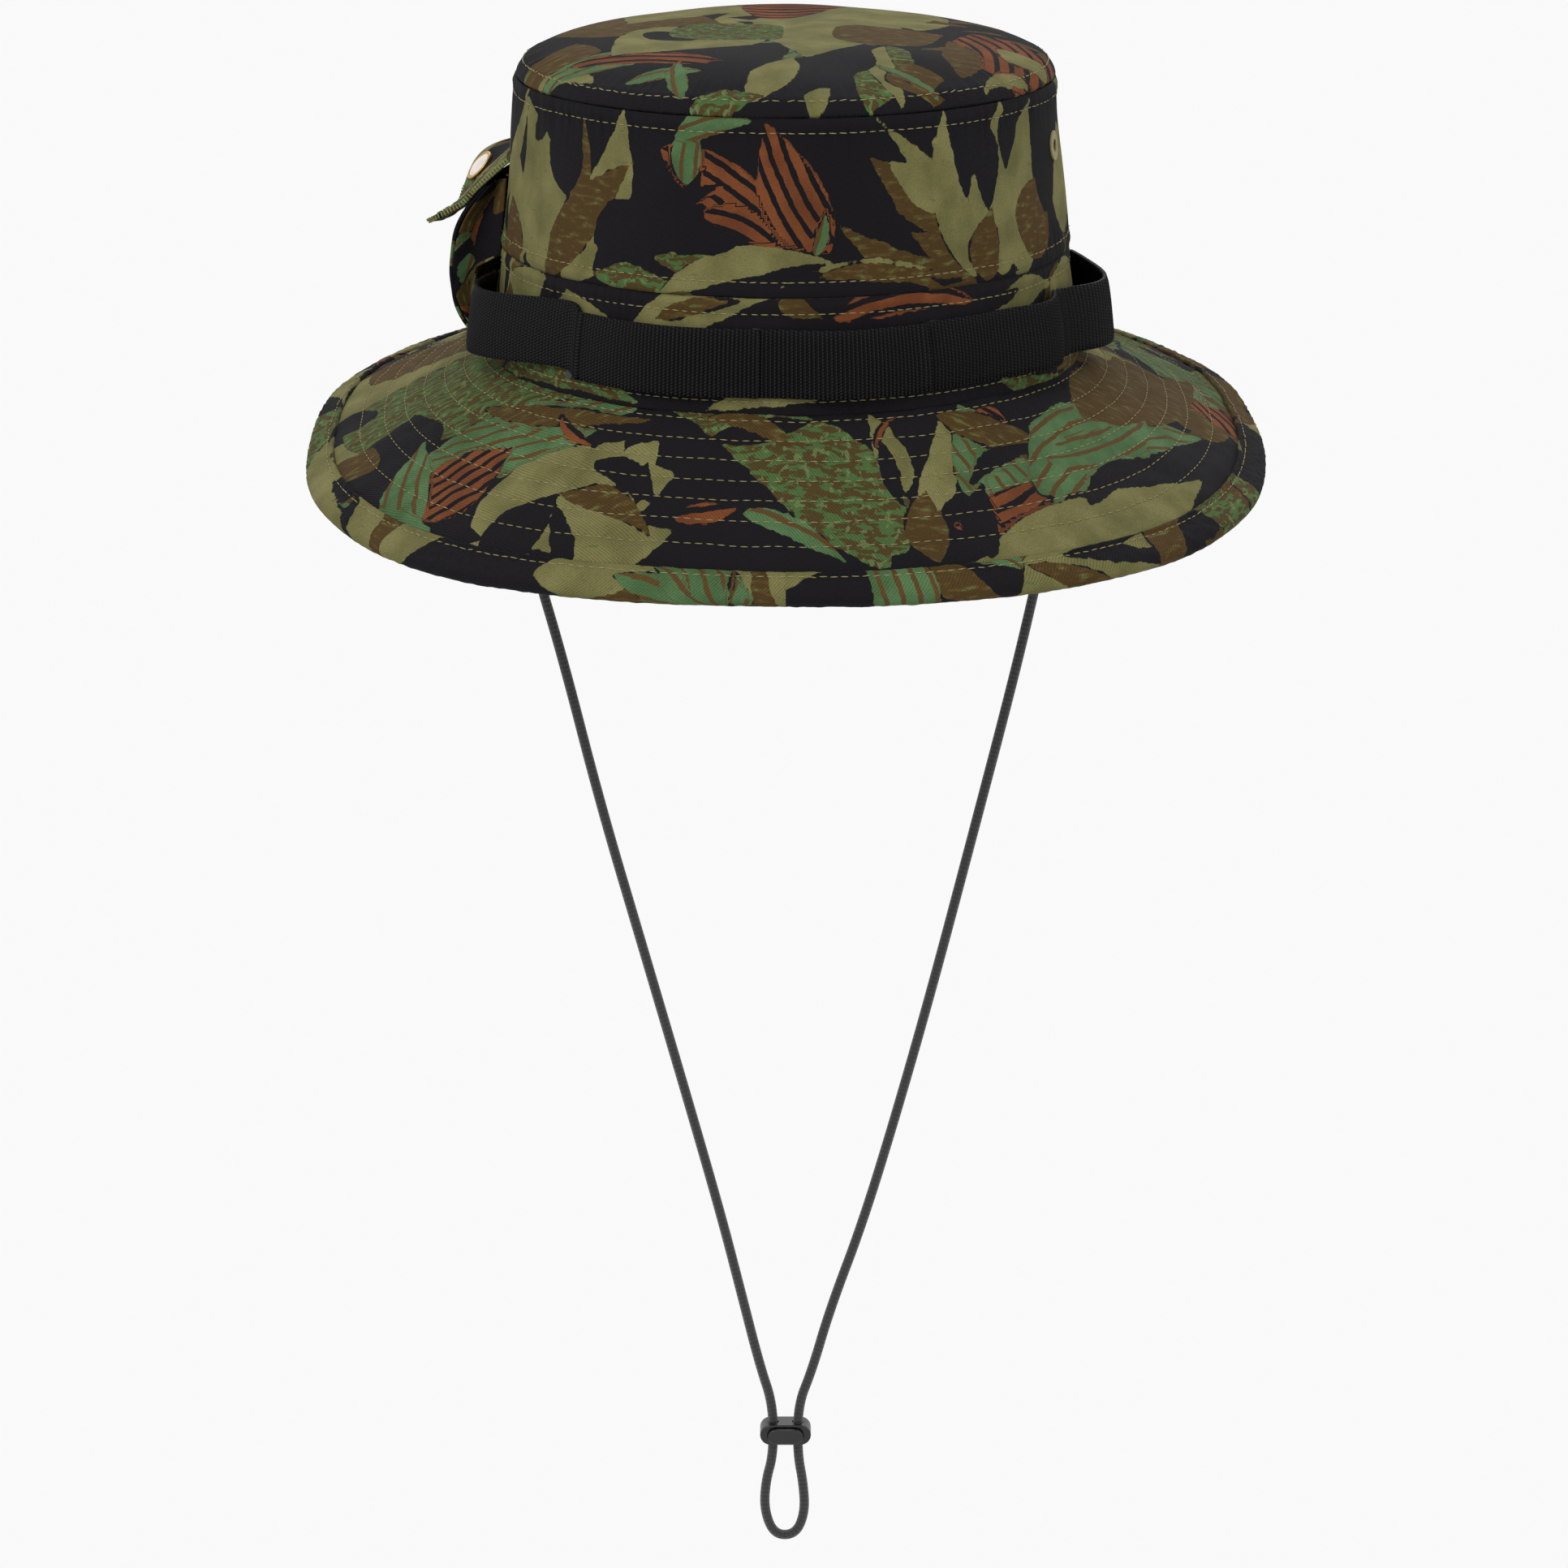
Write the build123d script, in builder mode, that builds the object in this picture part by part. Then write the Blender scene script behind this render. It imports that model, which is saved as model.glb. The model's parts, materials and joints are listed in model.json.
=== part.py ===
from build123d import *
import os
from math import cos, hypot, pi, radians, sin, sqrt, tan

# Boonie hat. The origin is the centre of the head opening where the crown meets the brim.
# +Z is up, the front of the hat faces -Y, and the bellows pocket is on the -X side. Millimetres.

# ---- driving dimensions -------------------------------------------------------------------
head_half_width = 92.0       # crown at the brim join, along X
head_half_length = 101.0     # crown at the brim join, along Y
seam_half_width = 87.5       # crown at the lower seam
seam_half_length = 96.5
seam_height = 34.0
tip_half_width = 83.0        # crown at the tip seam
tip_half_length = 92.0
tip_height = 86.0
dome_rise = 13.0

cloth = 1.2                  # crown cloth with its lining, one wall
tape = 0.6                   # side seam tape and size label
sweatband_height = 31.0
sweatband_cloth = 1.0

brim_width = 65.0            # from the join to the edge, on the slope
brim_drop = 30.3             # how far the edge hangs below the join at the hat's sides
brim_lean = 12.4             # how much lower the edge is in front, and higher behind
brim_squareness = 2.45       # exponent of the edge's oval, 2 is an ellipse
brim_cloth = 0.8
brim_stiffener = 1.2
binding_width = 9.6
binding_cloth = 0.9

web_low = 5.4                # foliage webbing
web_width = 20.0
web_thick = 1.3
web_off_wall = 0.5           # between the wall and the webbing at a tack
tack_width = 2.4

hole_radius = 2.5            # vent holes
ring_radius = 4.5
ring_inside = 2.0
ring_proud = 0.5
vent_height = 67.5

pocket_angle = -102.0        # the pocket's middle, from the front towards +X
pocket_width = 58.0
pocket_cloth = 1.0
flap_cloth = 0.8
flap_root_height = 61.0
flap_root_gap = 2.0          # between the wall and the flap's sewn line
flap_length = 28.5
flap_slope = 48.0            # degrees below level when snapped shut
flap_overhang = 1.0          # how far the flap reaches past each end of the pocket
snap_gap = 2.4               # between the flap's lining and the pocket panel
snap_reach = 13.0            # from the flap's sewn line to the snap's axis
cap_radius = 5.2
cap_height = 1.3
socket_radius = 4.5
socket_height = 1.3
stud_radius = 1.9
stud_clearance = 0.3
stud_disc_radius = 4.2
stud_disc = 0.7
post_radius = 3.8

cord_diameter = 3.2
tab_width = 10.0
tab_thick = 2.6
tab_top = 14.0
tab_bottom = -7.0

lock_centre_z = -369.0
lock_length = 17.0           # along X
lock_height = 7.2            # along Z, the way the cord runs
lock_front = -3.4
lock_back = 4.4
lock_wall = 0.8
cord_pitch = 8.2             # between the two runs in the lock
cord_clearance = 0.3
button_length = 11.7
button_height = 5.2
button_clearance = 0.3
button_proud = 1.8
button_face = 1.5            # thickness of the button's front plate
button_travel = 1.6
tongue_width = 3.4
tongue_end = 1.2             # where the button's tongue stops and the spring starts
spring_wire = 0.35
spring_radius = 1.1
spring_turns = 3

os.makedirs("parts", exist_ok=True)


# ---- the crown's slope --------------------------------------------------------------------
def crown_axes(z):
    """Half width and half length of the crown's outer face at height z."""
    if z <= seam_height:
        share = z / seam_height
        return (
            head_half_width + (seam_half_width - head_half_width) * share,
            head_half_length + (seam_half_length - head_half_length) * share,
        )
    share = (z - seam_height) / (tip_height - seam_height)
    return (
        seam_half_width + (tip_half_width - seam_half_width) * share,
        seam_half_length + (tip_half_length - seam_half_length) * share,
    )


def crown_core(z_low, z_high, inset):
    """The solid inside the crown's outer face, taken in by inset, between two heights."""
    heights = [z_low, z_high]
    if z_low < seam_height < z_high:
        heights = [z_low, seam_height, z_high]
    with BuildPart() as core:
        for z in heights:
            half_width, half_length = crown_axes(z)
            with BuildSketch(Plane.XY.offset(z)):
                Ellipse(half_width - inset, half_length - inset)
        loft(ruled=True)
    return core.part


def crown_layer(z_low, z_high, inset, thickness):
    """A ring of cloth of the given thickness that follows the crown's slope."""
    with BuildPart() as layer:
        add(crown_core(z_low, z_high, inset))
        add(crown_core(z_low, z_high, inset + thickness), mode=Mode.SUBTRACT)
    return layer.part


def save(piece, name):
    piece.part.label = name
    export_step(piece.part, f"parts/{name}.step")


# ---- vents --------------------------------------------------------------------------------
vent_angles = (74.0, 103.0)  # from the front towards +X


def vent_planes():
    """One plane at each vent hole, with its Z pointing out of the crown."""
    half_width, half_length = crown_axes(vent_height)
    planes = []
    for angle in vent_angles:
        x = half_width * sin(radians(angle))
        y = -half_length * cos(radians(angle))
        outward = (x / half_width**2, y / half_length**2, 0)
        planes.append(Plane(origin=(x, y, vent_height), z_dir=outward))
    return planes


# ---- crown panels -------------------------------------------------------------------------
def half_of_crown(z_low, z_high, keep):
    """The front or the rear half of a crown panel, seamed to the other at the hat's sides."""
    with BuildPart() as half:
        add(crown_layer(z_low, z_high, 0, cloth))
        split(bisect_by=Plane.XZ, keep=keep)
    return half.part


for name, keep in (("crown_wall_front", Keep.TOP), ("crown_wall_rear", Keep.BOTTOM)):
    with BuildPart() as crown_wall:
        add(half_of_crown(seam_height, tip_height, keep))
        for plane in vent_planes():
            with BuildSketch(plane):
                Circle(hole_radius)
            extrude(amount=3 * cloth, both=True, mode=Mode.SUBTRACT)
    save(crown_wall, name)

for name, keep in (("lower_band_front", Keep.TOP), ("lower_band_rear", Keep.BOTTOM)):
    with BuildPart() as lower_band:
        add(half_of_crown(0, seam_height, keep))
    save(lower_band, name)

# the dome's ovals: share of the tip seam's size, and share of the rise
dome_steps = ((1.0, 0.0), (0.975, 0.3), (0.91, 0.6), (0.76, 0.84), (0.5, 0.96), (0.2, 1.0))


def dome(inset, drop):
    """The crown tip's domed body, taken in at the seam and lowered at the top."""
    with BuildPart() as body:
        for size, height in dome_steps:
            with BuildSketch(Plane.XY.offset(tip_height + height * (dome_rise - drop))):
                Ellipse(size * (tip_half_width - inset), size * (tip_half_length - inset))
        loft()
    return body.part


with BuildPart() as crown_tip:
    add(dome(0, 0))
    add(dome(cloth, cloth), mode=Mode.SUBTRACT)
save(crown_tip, "crown_tip")

# ---- inside of the crown ------------------------------------------------------------------
with BuildPart() as sweatband:
    add(crown_layer(0, sweatband_height, cloth, sweatband_cloth))
save(sweatband, "sweatband")

tape_width = 9.0
tape_low = sweatband_height + 3
for name, side in (("seam_tape_left", -1), ("seam_tape_right", 1)):
    with BuildPart() as seam_tape:
        add(crown_layer(tape_low, tip_height, cloth, tape))
        with Locations((side * head_half_width, 0, tip_height / 2)):
            Box(head_half_width, tape_width, 2 * tip_height, mode=Mode.INTERSECT)
    save(seam_tape, name)

label_width = 34.0
label_low = 42.0
label_height = 24.0
with BuildPart() as size_label:
    add(crown_layer(label_low, label_low + label_height, cloth, tape))
    with Locations((0, head_half_length, label_low)):
        Box(label_width, head_half_length, 4 * label_height, mode=Mode.INTERSECT)
save(size_label, "size_label")

with BuildPart() as vent_eyelets:
    for plane in vent_planes():
        with BuildSketch(plane):
            Circle(ring_radius)
            Circle(ring_inside, mode=Mode.SUBTRACT)
        extrude(amount=3 * cloth, both=True)
    add(crown_core(seam_height, tip_height, -ring_proud), mode=Mode.INTERSECT)
    add(crown_core(seam_height, tip_height, cloth + ring_proud), mode=Mode.SUBTRACT)
    add(
        [import_step(f"parts/crown_wall_{half}.step") for half in ("front", "rear")],
        mode=Mode.SUBTRACT,
    )
save(vent_eyelets, "vent_eyelets")

# ---- brim ---------------------------------------------------------------------------------
edge_out = sqrt(brim_width**2 - brim_drop**2)
front_out = sqrt(brim_width**2 - (brim_drop + brim_lean) ** 2)
rear_out = sqrt(brim_width**2 - (brim_drop - brim_lean) ** 2)
edge_half_width = head_half_width + edge_out
edge_half_length = head_half_length + (front_out + rear_out) / 2
edge_centre_y = (rear_out - front_out) / 2
brim_inside = cloth + sweatband_cloth    # the seam allowance turned in under the band
oval_points = 32


def oval(half_width, half_length, squareness, first=0.0):
    """Points of an oval. It starts on +X, or first steps round from it."""
    points = []
    for k in range(oval_points):
        angle = 2 * pi * (k + first) / oval_points
        c, s = cos(angle), sin(angle)
        r = (abs(c) ** squareness + abs(s) ** squareness) ** (-1 / squareness)
        points.append((half_width * r * c, half_length * r * s))
    return points


def brim_body(lift):
    """The solid under the brim's surface, moved up by lift. It reaches past the edge."""
    past = 6.0
    deeper = past * brim_drop / edge_out
    lean = brim_lean / edge_half_length
    slope = sqrt(1 + lean**2)
    edge = Plane(
        origin=(0, edge_centre_y, lift - brim_drop - deeper),
        x_dir=(1, 0, 0),
        z_dir=(0, -lean, 1),
    )
    with BuildPart() as body:
        with BuildSketch(Plane.XY.offset(lift)):
            with BuildLine():
                Spline(*oval(head_half_width, head_half_length, 2), periodic=True)
            make_face()
        with BuildSketch(edge):
            with BuildLine():
                Spline(
                    *oval(
                        edge_half_width + past,
                        (edge_half_length + past) * slope,
                        brim_squareness,
                    ),
                    periodic=True,
                )
            make_face()
        loft(ruled=True)
    return body.part


prism_first = 0.5            # keeps the prism's closing line off the brim surface's


def edge_prism(grow):
    """An upright prism of the brim's outline, grown or taken in."""
    half_width = edge_half_width + grow
    half_length = edge_half_length + grow
    with BuildPart() as prism:
        with BuildSketch(Plane.XY.offset(-4 * brim_drop)):
            with BuildLine():
                points = oval(half_width, half_length, brim_squareness, prism_first)
                Spline(*[(x, y + edge_centre_y) for x, y in points], periodic=True)
            make_face()
        extrude(amount=6 * brim_drop)
    return prism.part


def brim_ply(top, thickness):
    """One ply of the brim: top is how far its upper face is below the brim's surface."""
    with BuildPart() as ply:
        add(brim_body(-top))
        add(brim_body(-top - thickness), mode=Mode.SUBTRACT)
        add(edge_prism(0), mode=Mode.INTERSECT)
        add(crown_core(-brim_drop, seam_height, brim_inside), mode=Mode.SUBTRACT)
    return ply.part


with BuildPart() as brim_upper:
    add(brim_ply(0, brim_cloth))
save(brim_upper, "brim_upper")

with BuildPart() as brim_interlining:
    add(brim_ply(brim_cloth, brim_stiffener))
save(brim_interlining, "brim_interlining")

with BuildPart() as brim_lower:
    add(brim_ply(brim_cloth + brim_stiffener, brim_cloth))
save(brim_lower, "brim_lower")

brim_thick = 2 * brim_cloth + brim_stiffener
with BuildPart() as brim_binding:
    add(brim_body(binding_cloth))
    add(brim_body(-brim_thick - binding_cloth), mode=Mode.SUBTRACT)
    add(edge_prism(binding_cloth), mode=Mode.INTERSECT)
    add(edge_prism(binding_cloth - binding_width), mode=Mode.SUBTRACT)
    add(brim_ply(0, brim_thick), mode=Mode.SUBTRACT)
save(brim_binding, "brim_binding")

# ---- foliage webbing ----------------------------------------------------------------------
# angle of each tack from the front towards +X, and how far the loop after it stands off
web_loops = (
    (-86.0, 8.5),
    (-42.0, 2.0),
    (-5.0, 2.6),
    (27.0, 2.2),
    (67.0, 8.5),
    (100.0, 6.0),
    (137.0, 3.0),
    (174.0, 3.0),
    (211.0, 3.0),
    (246.0, 1.2),
)
points_per_loop = 8


def web_outline(z, off_wall):
    """Points of the webbing's face at height z: it touches down at each tack and bows between."""
    half_width, half_length = crown_axes(z)
    points = []
    for index, (start, stand_off) in enumerate(web_loops):
        end = web_loops[(index + 1) % len(web_loops)][0]
        turn = (end - start) % 360
        for k in range(points_per_loop):
            share = k / points_per_loop
            angle = radians(start + turn * share)
            x, y = half_width * sin(angle), -half_length * cos(angle)
            nx, ny = x / half_width**2, y / half_length**2
            out = (off_wall + stand_off * sin(pi * share) ** 2) / hypot(nx, ny)
            points.append((x + nx * out, y + ny * out))
    return points


def web_core(z_low, z_high, off_wall):
    """The solid inside one face of the webbing."""
    with BuildPart() as core:
        for z in (z_low, z_high):
            with BuildSketch(Plane.XY.offset(z)):
                with BuildLine():
                    Spline(*web_outline(z, off_wall), periodic=True)
                make_face()
        loft(ruled=True)
    return core.part


web_high = web_low + web_width
with BuildPart() as foliage_band:
    add(web_core(web_low, web_high, web_off_wall + web_thick))
    add(web_core(web_low, web_high, web_off_wall), mode=Mode.SUBTRACT)
save(foliage_band, "foliage_band")

with BuildPart() as web_tacks:
    for angle, _ in web_loops:
        with Locations(Location((0, 0, web_low + web_width / 2), (0, 0, angle))):
            with Locations((0, -head_half_length, 0)):
                Box(tack_width, head_half_length, web_width)
    add(web_core(web_low, web_high, web_off_wall), mode=Mode.INTERSECT)
    add(crown_core(0, seam_height, 0), mode=Mode.SUBTRACT)
save(web_tacks, "web_tacks")

# ---- pocket -------------------------------------------------------------------------------
# The pocket faces straight out of the crown where it is sewn on. Its section is drawn in an
# upright plane there, in which "out" is a distance from near the hat's centre towards -X.
wall_out, wall_deep = crown_axes(flap_root_height)
pocket_middle = Vector(
    wall_out * sin(radians(pocket_angle)),
    -wall_deep * cos(radians(pocket_angle)),
    0,
)
pocket_in = -Vector(pocket_middle.X / wall_out**2, pocket_middle.Y / wall_deep**2, 0).normalized()
pocket_section = Plane(
    origin=pocket_middle + pocket_in * wall_out,
    x_dir=pocket_in,
    z_dir=pocket_in.cross(Vector(0, 0, 1)),
)
flap_axis_out = wall_out + flap_root_gap
flap_down = radians(flap_slope)
flap_thick = 2 * flap_cloth


def under_flap(along, depth):
    """A point in the section: along the flap from its sewn line, and under its outer face."""
    return (
        -(flap_axis_out + along * cos(flap_down) - depth * sin(flap_down)),
        flap_root_height - along * sin(flap_down) - depth * cos(flap_down),
    )


panel_depth = flap_thick + snap_gap
panel_top_along = 8.4
panel_knee_along = 21.0
bag_bulge = (-(flap_axis_out + 14.3), 27.5)
bag_low = (-(flap_axis_out + 12.8), 14.5)
bag_bottom = (-(flap_axis_out + 8.0), 7.0)
bag_back = (-(flap_axis_out + 5.2), 27.0)    # the bag hangs over the webbing up to here
bag_wall_low = 31.0          # where the gusset's bottom is sewn to the wall
bag_wall_high = 54.5
bag_inside = 20.0            # runs the pocket's body on into the crown, which then trims it


def panel_line(inset):
    """The front panel's section line, taken in towards the crown."""
    return [
        under_flap(panel_top_along, panel_depth + inset),
        under_flap(panel_knee_along, panel_depth + inset),
        (bag_bulge[0] + inset, bag_bulge[1]),
        (bag_low[0] + inset, bag_low[1] + inset * 0.5),
        (bag_bottom[0] + inset * 0.5, bag_bottom[1] + inset),
    ]


def bag_block(width, floor, open_top):
    """The pocket's body behind its panel. Floor raises the bottom, open_top lifts the mouth."""
    line = panel_line(pocket_cloth)
    low, bottom = line[-2:]
    rise = 2 * floor
    share = rise / (low[1] - bottom[1])
    line[-1] = (bottom[0] + (low[0] - bottom[0]) * share, bottom[1] + rise)
    crown_out = -crown_axes(bag_wall_low)[0]
    deep_inside = crown_out + bag_inside
    with BuildPart() as block:
        with BuildSketch(pocket_section):
            with BuildLine():
                Polyline(
                    (deep_inside, bag_wall_high + open_top),
                    (line[0][0], line[0][1] + open_top),
                    *(line if open_top else line[1:]),
                    (bag_back[0] - floor, bag_back[1] + floor),
                    (crown_out, bag_wall_low + floor),
                    (deep_inside, bag_wall_low + floor),
                    close=True,
                )
            make_face()
        extrude(amount=width / 2, both=True)
    return block.part


with BuildPart() as pocket_panel:
    with BuildSketch(pocket_section):
        with BuildLine():
            Polyline(*panel_line(0), *reversed(panel_line(pocket_cloth)), close=True)
        make_face()
    extrude(amount=pocket_width / 2, both=True)
save(pocket_panel, "pocket_panel")

with BuildPart() as pocket_gusset:
    add(bag_block(pocket_width, 0, 0))
    add(bag_block(pocket_width - 2 * pocket_cloth, pocket_cloth, bag_inside), mode=Mode.SUBTRACT)
    add(crown_core(0, tip_height, 0), mode=Mode.SUBTRACT)
save(pocket_gusset, "pocket_gusset")

flap_half = pocket_width / 2 + flap_overhang
flap_corner = 5.0


def flap_plane(depth):
    """The plane of the flap's outer face, sunk by depth. Its X runs down the flap."""
    out, height = under_flap(0, depth)
    up = Vector(0, 0, 1)
    return Plane(
        origin=pocket_section.origin + pocket_in * out + up * height,
        x_dir=-pocket_in * cos(flap_down) - up * sin(flap_down),
        z_dir=-pocket_in * sin(flap_down) + up * cos(flap_down),
    )


def flap_ply(depth):
    """One ply of the flap, with rounded lower corners and the holes for the snap."""
    with BuildPart() as ply:
        with BuildSketch(flap_plane(depth)) as outline:
            with Locations((flap_length / 2, 0)):
                Rectangle(flap_length, 2 * flap_half)
            fillet(outline.vertices().group_by(Axis.X)[-1], flap_corner)
            with Locations((snap_reach, 0)):
                Circle(stud_radius, mode=Mode.SUBTRACT)
        extrude(amount=-flap_cloth)
    return ply.part


with BuildPart() as flap_outer:
    add(flap_ply(0))
save(flap_outer, "flap_outer")

with BuildPart() as flap_lining:
    add(flap_ply(flap_cloth))
save(flap_lining, "flap_lining")

# ---- snap fastener ------------------------------------------------------------------------
snap_bore = stud_radius + stud_clearance
with BuildPart() as snap_cap:
    with BuildSketch(flap_plane(0)):
        with Locations((snap_reach, 0)):
            Circle(cap_radius)
    extrude(amount=cap_height)
    fillet(snap_cap.edges().group_by(Axis(flap_plane(0).origin, flap_plane(0).z_dir))[-1], 0.6)
    with BuildSketch(flap_plane(0)):
        with Locations((snap_reach, 0)):
            Circle(stud_radius)
    extrude(amount=-flap_thick)
save(snap_cap, "snap_cap")

with BuildPart() as snap_socket:
    with BuildSketch(flap_plane(flap_thick)):
        with Locations((snap_reach, 0)):
            Circle(socket_radius)
            Circle(snap_bore, mode=Mode.SUBTRACT)
    extrude(amount=-socket_height)
save(snap_socket, "snap_socket")

with BuildPart() as snap_stud:
    with BuildSketch(flap_plane(panel_depth)):
        with Locations((snap_reach, 0)):
            Circle(stud_disc_radius)
    extrude(amount=stud_disc)
    with BuildSketch(flap_plane(panel_depth - stud_disc)):
        with Locations((snap_reach, 0)):
            Circle(stud_radius)
    extrude(amount=snap_gap - stud_disc - stud_clearance)
save(snap_stud, "snap_stud")

with BuildPart() as snap_post:
    with BuildSketch(flap_plane(panel_depth + pocket_cloth)):
        with Locations((snap_reach, 0)):
            Circle(post_radius)
    extrude(amount=-stud_disc)
save(snap_post, "snap_post")

# ---- chin cord ----------------------------------------------------------------------------
for name, side in (("cord_tab_left", -1), ("cord_tab_right", 1)):
    with BuildPart() as cord_tab:
        with Locations((side * head_half_width, 0, (tab_top + tab_bottom) / 2)):
            Box(
                2 * (brim_inside + tab_thick),
                tab_width,
                tab_top - tab_bottom,
            )
        add(crown_core(tab_bottom, tab_top, brim_inside), mode=Mode.INTERSECT)
    save(cord_tab, name)

# One cord runs from tab to tab. It is made in three solids that meet inside the cord lock,
# so that the loop can travel with the lock.
tab_out = head_half_width - brim_inside - tab_thick / 2
in_lock = cord_pitch / 2
left_leg = [
    (-tab_out, 0, tab_bottom),
    (-tab_out, 0, -23),
    (-85.0, -1.0, -47),
    (-79.0, -2.0, -71),
    (-71.0, -2.2, -100),
    (-59.4, -0.6, -150),
    (-46.2, 0.8, -199),
    (-32.4, 1.2, -250),
    (-21.4, 0.2, -291),
    (-14.9, -0.4, -318),
    (-8.6, 0, -345),
    (-in_lock, 0, -359.5),
    (-in_lock, 0, lock_centre_z),
]
loop = [
    (-in_lock, 0, lock_centre_z),
    (-in_lock, 0, -377.5),
    (-6.6, 0, -387),
    (-7.2, 0, -397.5),
    (-3.9, 0, -406.8),
    (3.4, 0, -406.8),
    (6.6, 0, -398.5),
    (5.9, 0, -387.5),
    (in_lock, 0, -377.5),
    (in_lock, 0, lock_centre_z),
]
right_leg = [
    (tab_out, 0, tab_bottom),
    (tab_out, 0, -23),
    (85.6, -0.8, -46),
    (80.6, -1.6, -70),
    (73.0, -1.8, -106),
    (60.0, -0.4, -161),
    (47.8, 0.8, -212),
    (36.2, 1.8, -257),
    (25.4, 1.4, -295),
    (14.8, 0.6, -325),
    (8.8, 0, -347),
    (in_lock, 0, -359.5),
    (in_lock, 0, lock_centre_z),
]


def cord_radii(route):
    """The radius of the arc at each inner point: 0.45 of the shorter run."""
    radii = []
    for before, here, after in zip(route, route[1:], route[2:]):
        run_in = Vector(*here) - Vector(*before)
        run_out = Vector(*after) - Vector(*here)
        turn = radians(run_in.get_angle(run_out))
        radii.append(0.45 * min(run_in.length, run_out.length) / tan(turn / 2))
    return radii


for name, route in (
    ("chin_cord_left", left_leg),
    ("chin_cord_loop", loop),
    ("chin_cord_right", right_leg),
):
    with BuildPart() as chin_cord:
        with BuildLine() as cord_path:
            FilletPolyline(*route, radius=cord_radii(route))
        cord_wire = cord_path.wires()[0]
        with BuildSketch(Plane(origin=cord_wire @ 0, z_dir=cord_wire % 0)):
            Circle(cord_diameter / 2)
        sweep()
    save(chin_cord, name)
    print(name, "radii", [round(radius, 1) for radius in cord_radii(route)])
    print(name, "length", round(cord_wire.length, 1))
    cord_volume = pi * cord_diameter**2 / 4 * cord_wire.length
    print(name, "volume over section times length", round(chin_cord.part.volume / cord_volume, 4))

# ---- cord lock ----------------------------------------------------------------------------
lock_plane = Plane(origin=(0, lock_front, lock_centre_z), x_dir=(1, 0, 0), z_dir=(0, 1, 0))
cord_hole = cord_diameter / 2 + cord_clearance
bore_length = button_length + 2 * button_clearance
bore_height = button_height + 2 * button_clearance
bore_depth = button_face - button_proud + button_travel + button_clearance
tongue_slot = tongue_width + 2 * button_clearance

with BuildPart() as lock_body:
    with BuildSketch(lock_plane):
        SlotOverall(lock_length, lock_height)
    extrude(amount=lock_back - lock_front)
    fillet(lock_body.faces().filter_by(Axis.Y).edges(), 0.5)
    with BuildSketch(lock_plane):
        SlotOverall(bore_length, bore_height)
    extrude(amount=bore_depth, mode=Mode.SUBTRACT)
    with BuildSketch(lock_plane):
        Rectangle(tongue_slot, bore_height)
    extrude(amount=lock_back - lock_front - lock_wall, mode=Mode.SUBTRACT)
    with BuildSketch(Plane.XY.offset(lock_centre_z)):
        with Locations((-in_lock, 0), (in_lock, 0)):
            Circle(cord_hole)
    extrude(amount=lock_height, both=True, mode=Mode.SUBTRACT)
save(lock_body, "lock_body")

with BuildPart() as lock_button:
    with BuildSketch(lock_plane.offset(-button_proud)):
        SlotOverall(button_length, button_height)
    extrude(amount=button_face)
    with BuildSketch(lock_plane.offset(-button_proud + button_face)):
        Rectangle(tongue_width, button_height)
    extrude(amount=tongue_end - lock_front + button_proud - button_face)
    fillet(lock_button.faces().sort_by(Axis.Y)[0].edges(), 0.5)
save(lock_button, "lock_button")

with BuildPart() as lock_spring:
    spring_length = lock_back - lock_wall - tongue_end - spring_wire
    with BuildLine() as coil:
        Helix(
            spring_length / spring_turns,
            spring_length,
            spring_radius,
            center=(0, tongue_end + spring_wire / 2, lock_centre_z),
            direction=(0, 1, 0),
        )
    with BuildSketch(Plane(origin=coil.line @ 0, z_dir=coil.line % 0)):
        Circle(spring_wire / 2)
    sweep(is_frenet=True)
save(lock_spring, "lock_spring")
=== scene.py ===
import json
from math import cos, exp, hypot, pi, radians, sin

import bmesh
import bpy
import numpy as np
from mathutils import Matrix, Vector, noise


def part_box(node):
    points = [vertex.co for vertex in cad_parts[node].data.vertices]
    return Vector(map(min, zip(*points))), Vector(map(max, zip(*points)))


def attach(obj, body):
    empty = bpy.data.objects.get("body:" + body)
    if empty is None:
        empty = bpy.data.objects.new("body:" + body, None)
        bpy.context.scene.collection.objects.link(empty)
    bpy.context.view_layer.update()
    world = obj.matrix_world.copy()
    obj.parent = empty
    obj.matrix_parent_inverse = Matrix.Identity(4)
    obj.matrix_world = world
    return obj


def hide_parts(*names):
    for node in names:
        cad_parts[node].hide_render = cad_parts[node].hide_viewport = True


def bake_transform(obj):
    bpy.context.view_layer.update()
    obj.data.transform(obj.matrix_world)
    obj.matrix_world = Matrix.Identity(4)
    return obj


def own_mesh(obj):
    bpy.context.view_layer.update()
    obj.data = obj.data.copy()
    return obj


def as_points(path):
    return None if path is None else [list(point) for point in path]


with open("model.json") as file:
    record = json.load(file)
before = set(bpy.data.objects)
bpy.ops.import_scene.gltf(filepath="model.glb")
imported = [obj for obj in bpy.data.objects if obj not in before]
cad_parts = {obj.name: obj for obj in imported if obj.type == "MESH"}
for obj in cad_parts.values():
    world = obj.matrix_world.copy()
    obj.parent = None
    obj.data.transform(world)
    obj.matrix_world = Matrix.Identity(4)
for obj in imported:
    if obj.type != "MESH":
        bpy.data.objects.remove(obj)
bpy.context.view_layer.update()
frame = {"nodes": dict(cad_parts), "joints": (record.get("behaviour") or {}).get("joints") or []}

# ---- Studio -------------------------------------------------------------------------------
# The hat hangs in front of a plain white background. A large soft light stands to the upper
# left of the camera, a weaker one fills the right side, and the room is evenly bright.
scene = bpy.context.scene
scene.view_settings.view_transform = "Standard"

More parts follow.
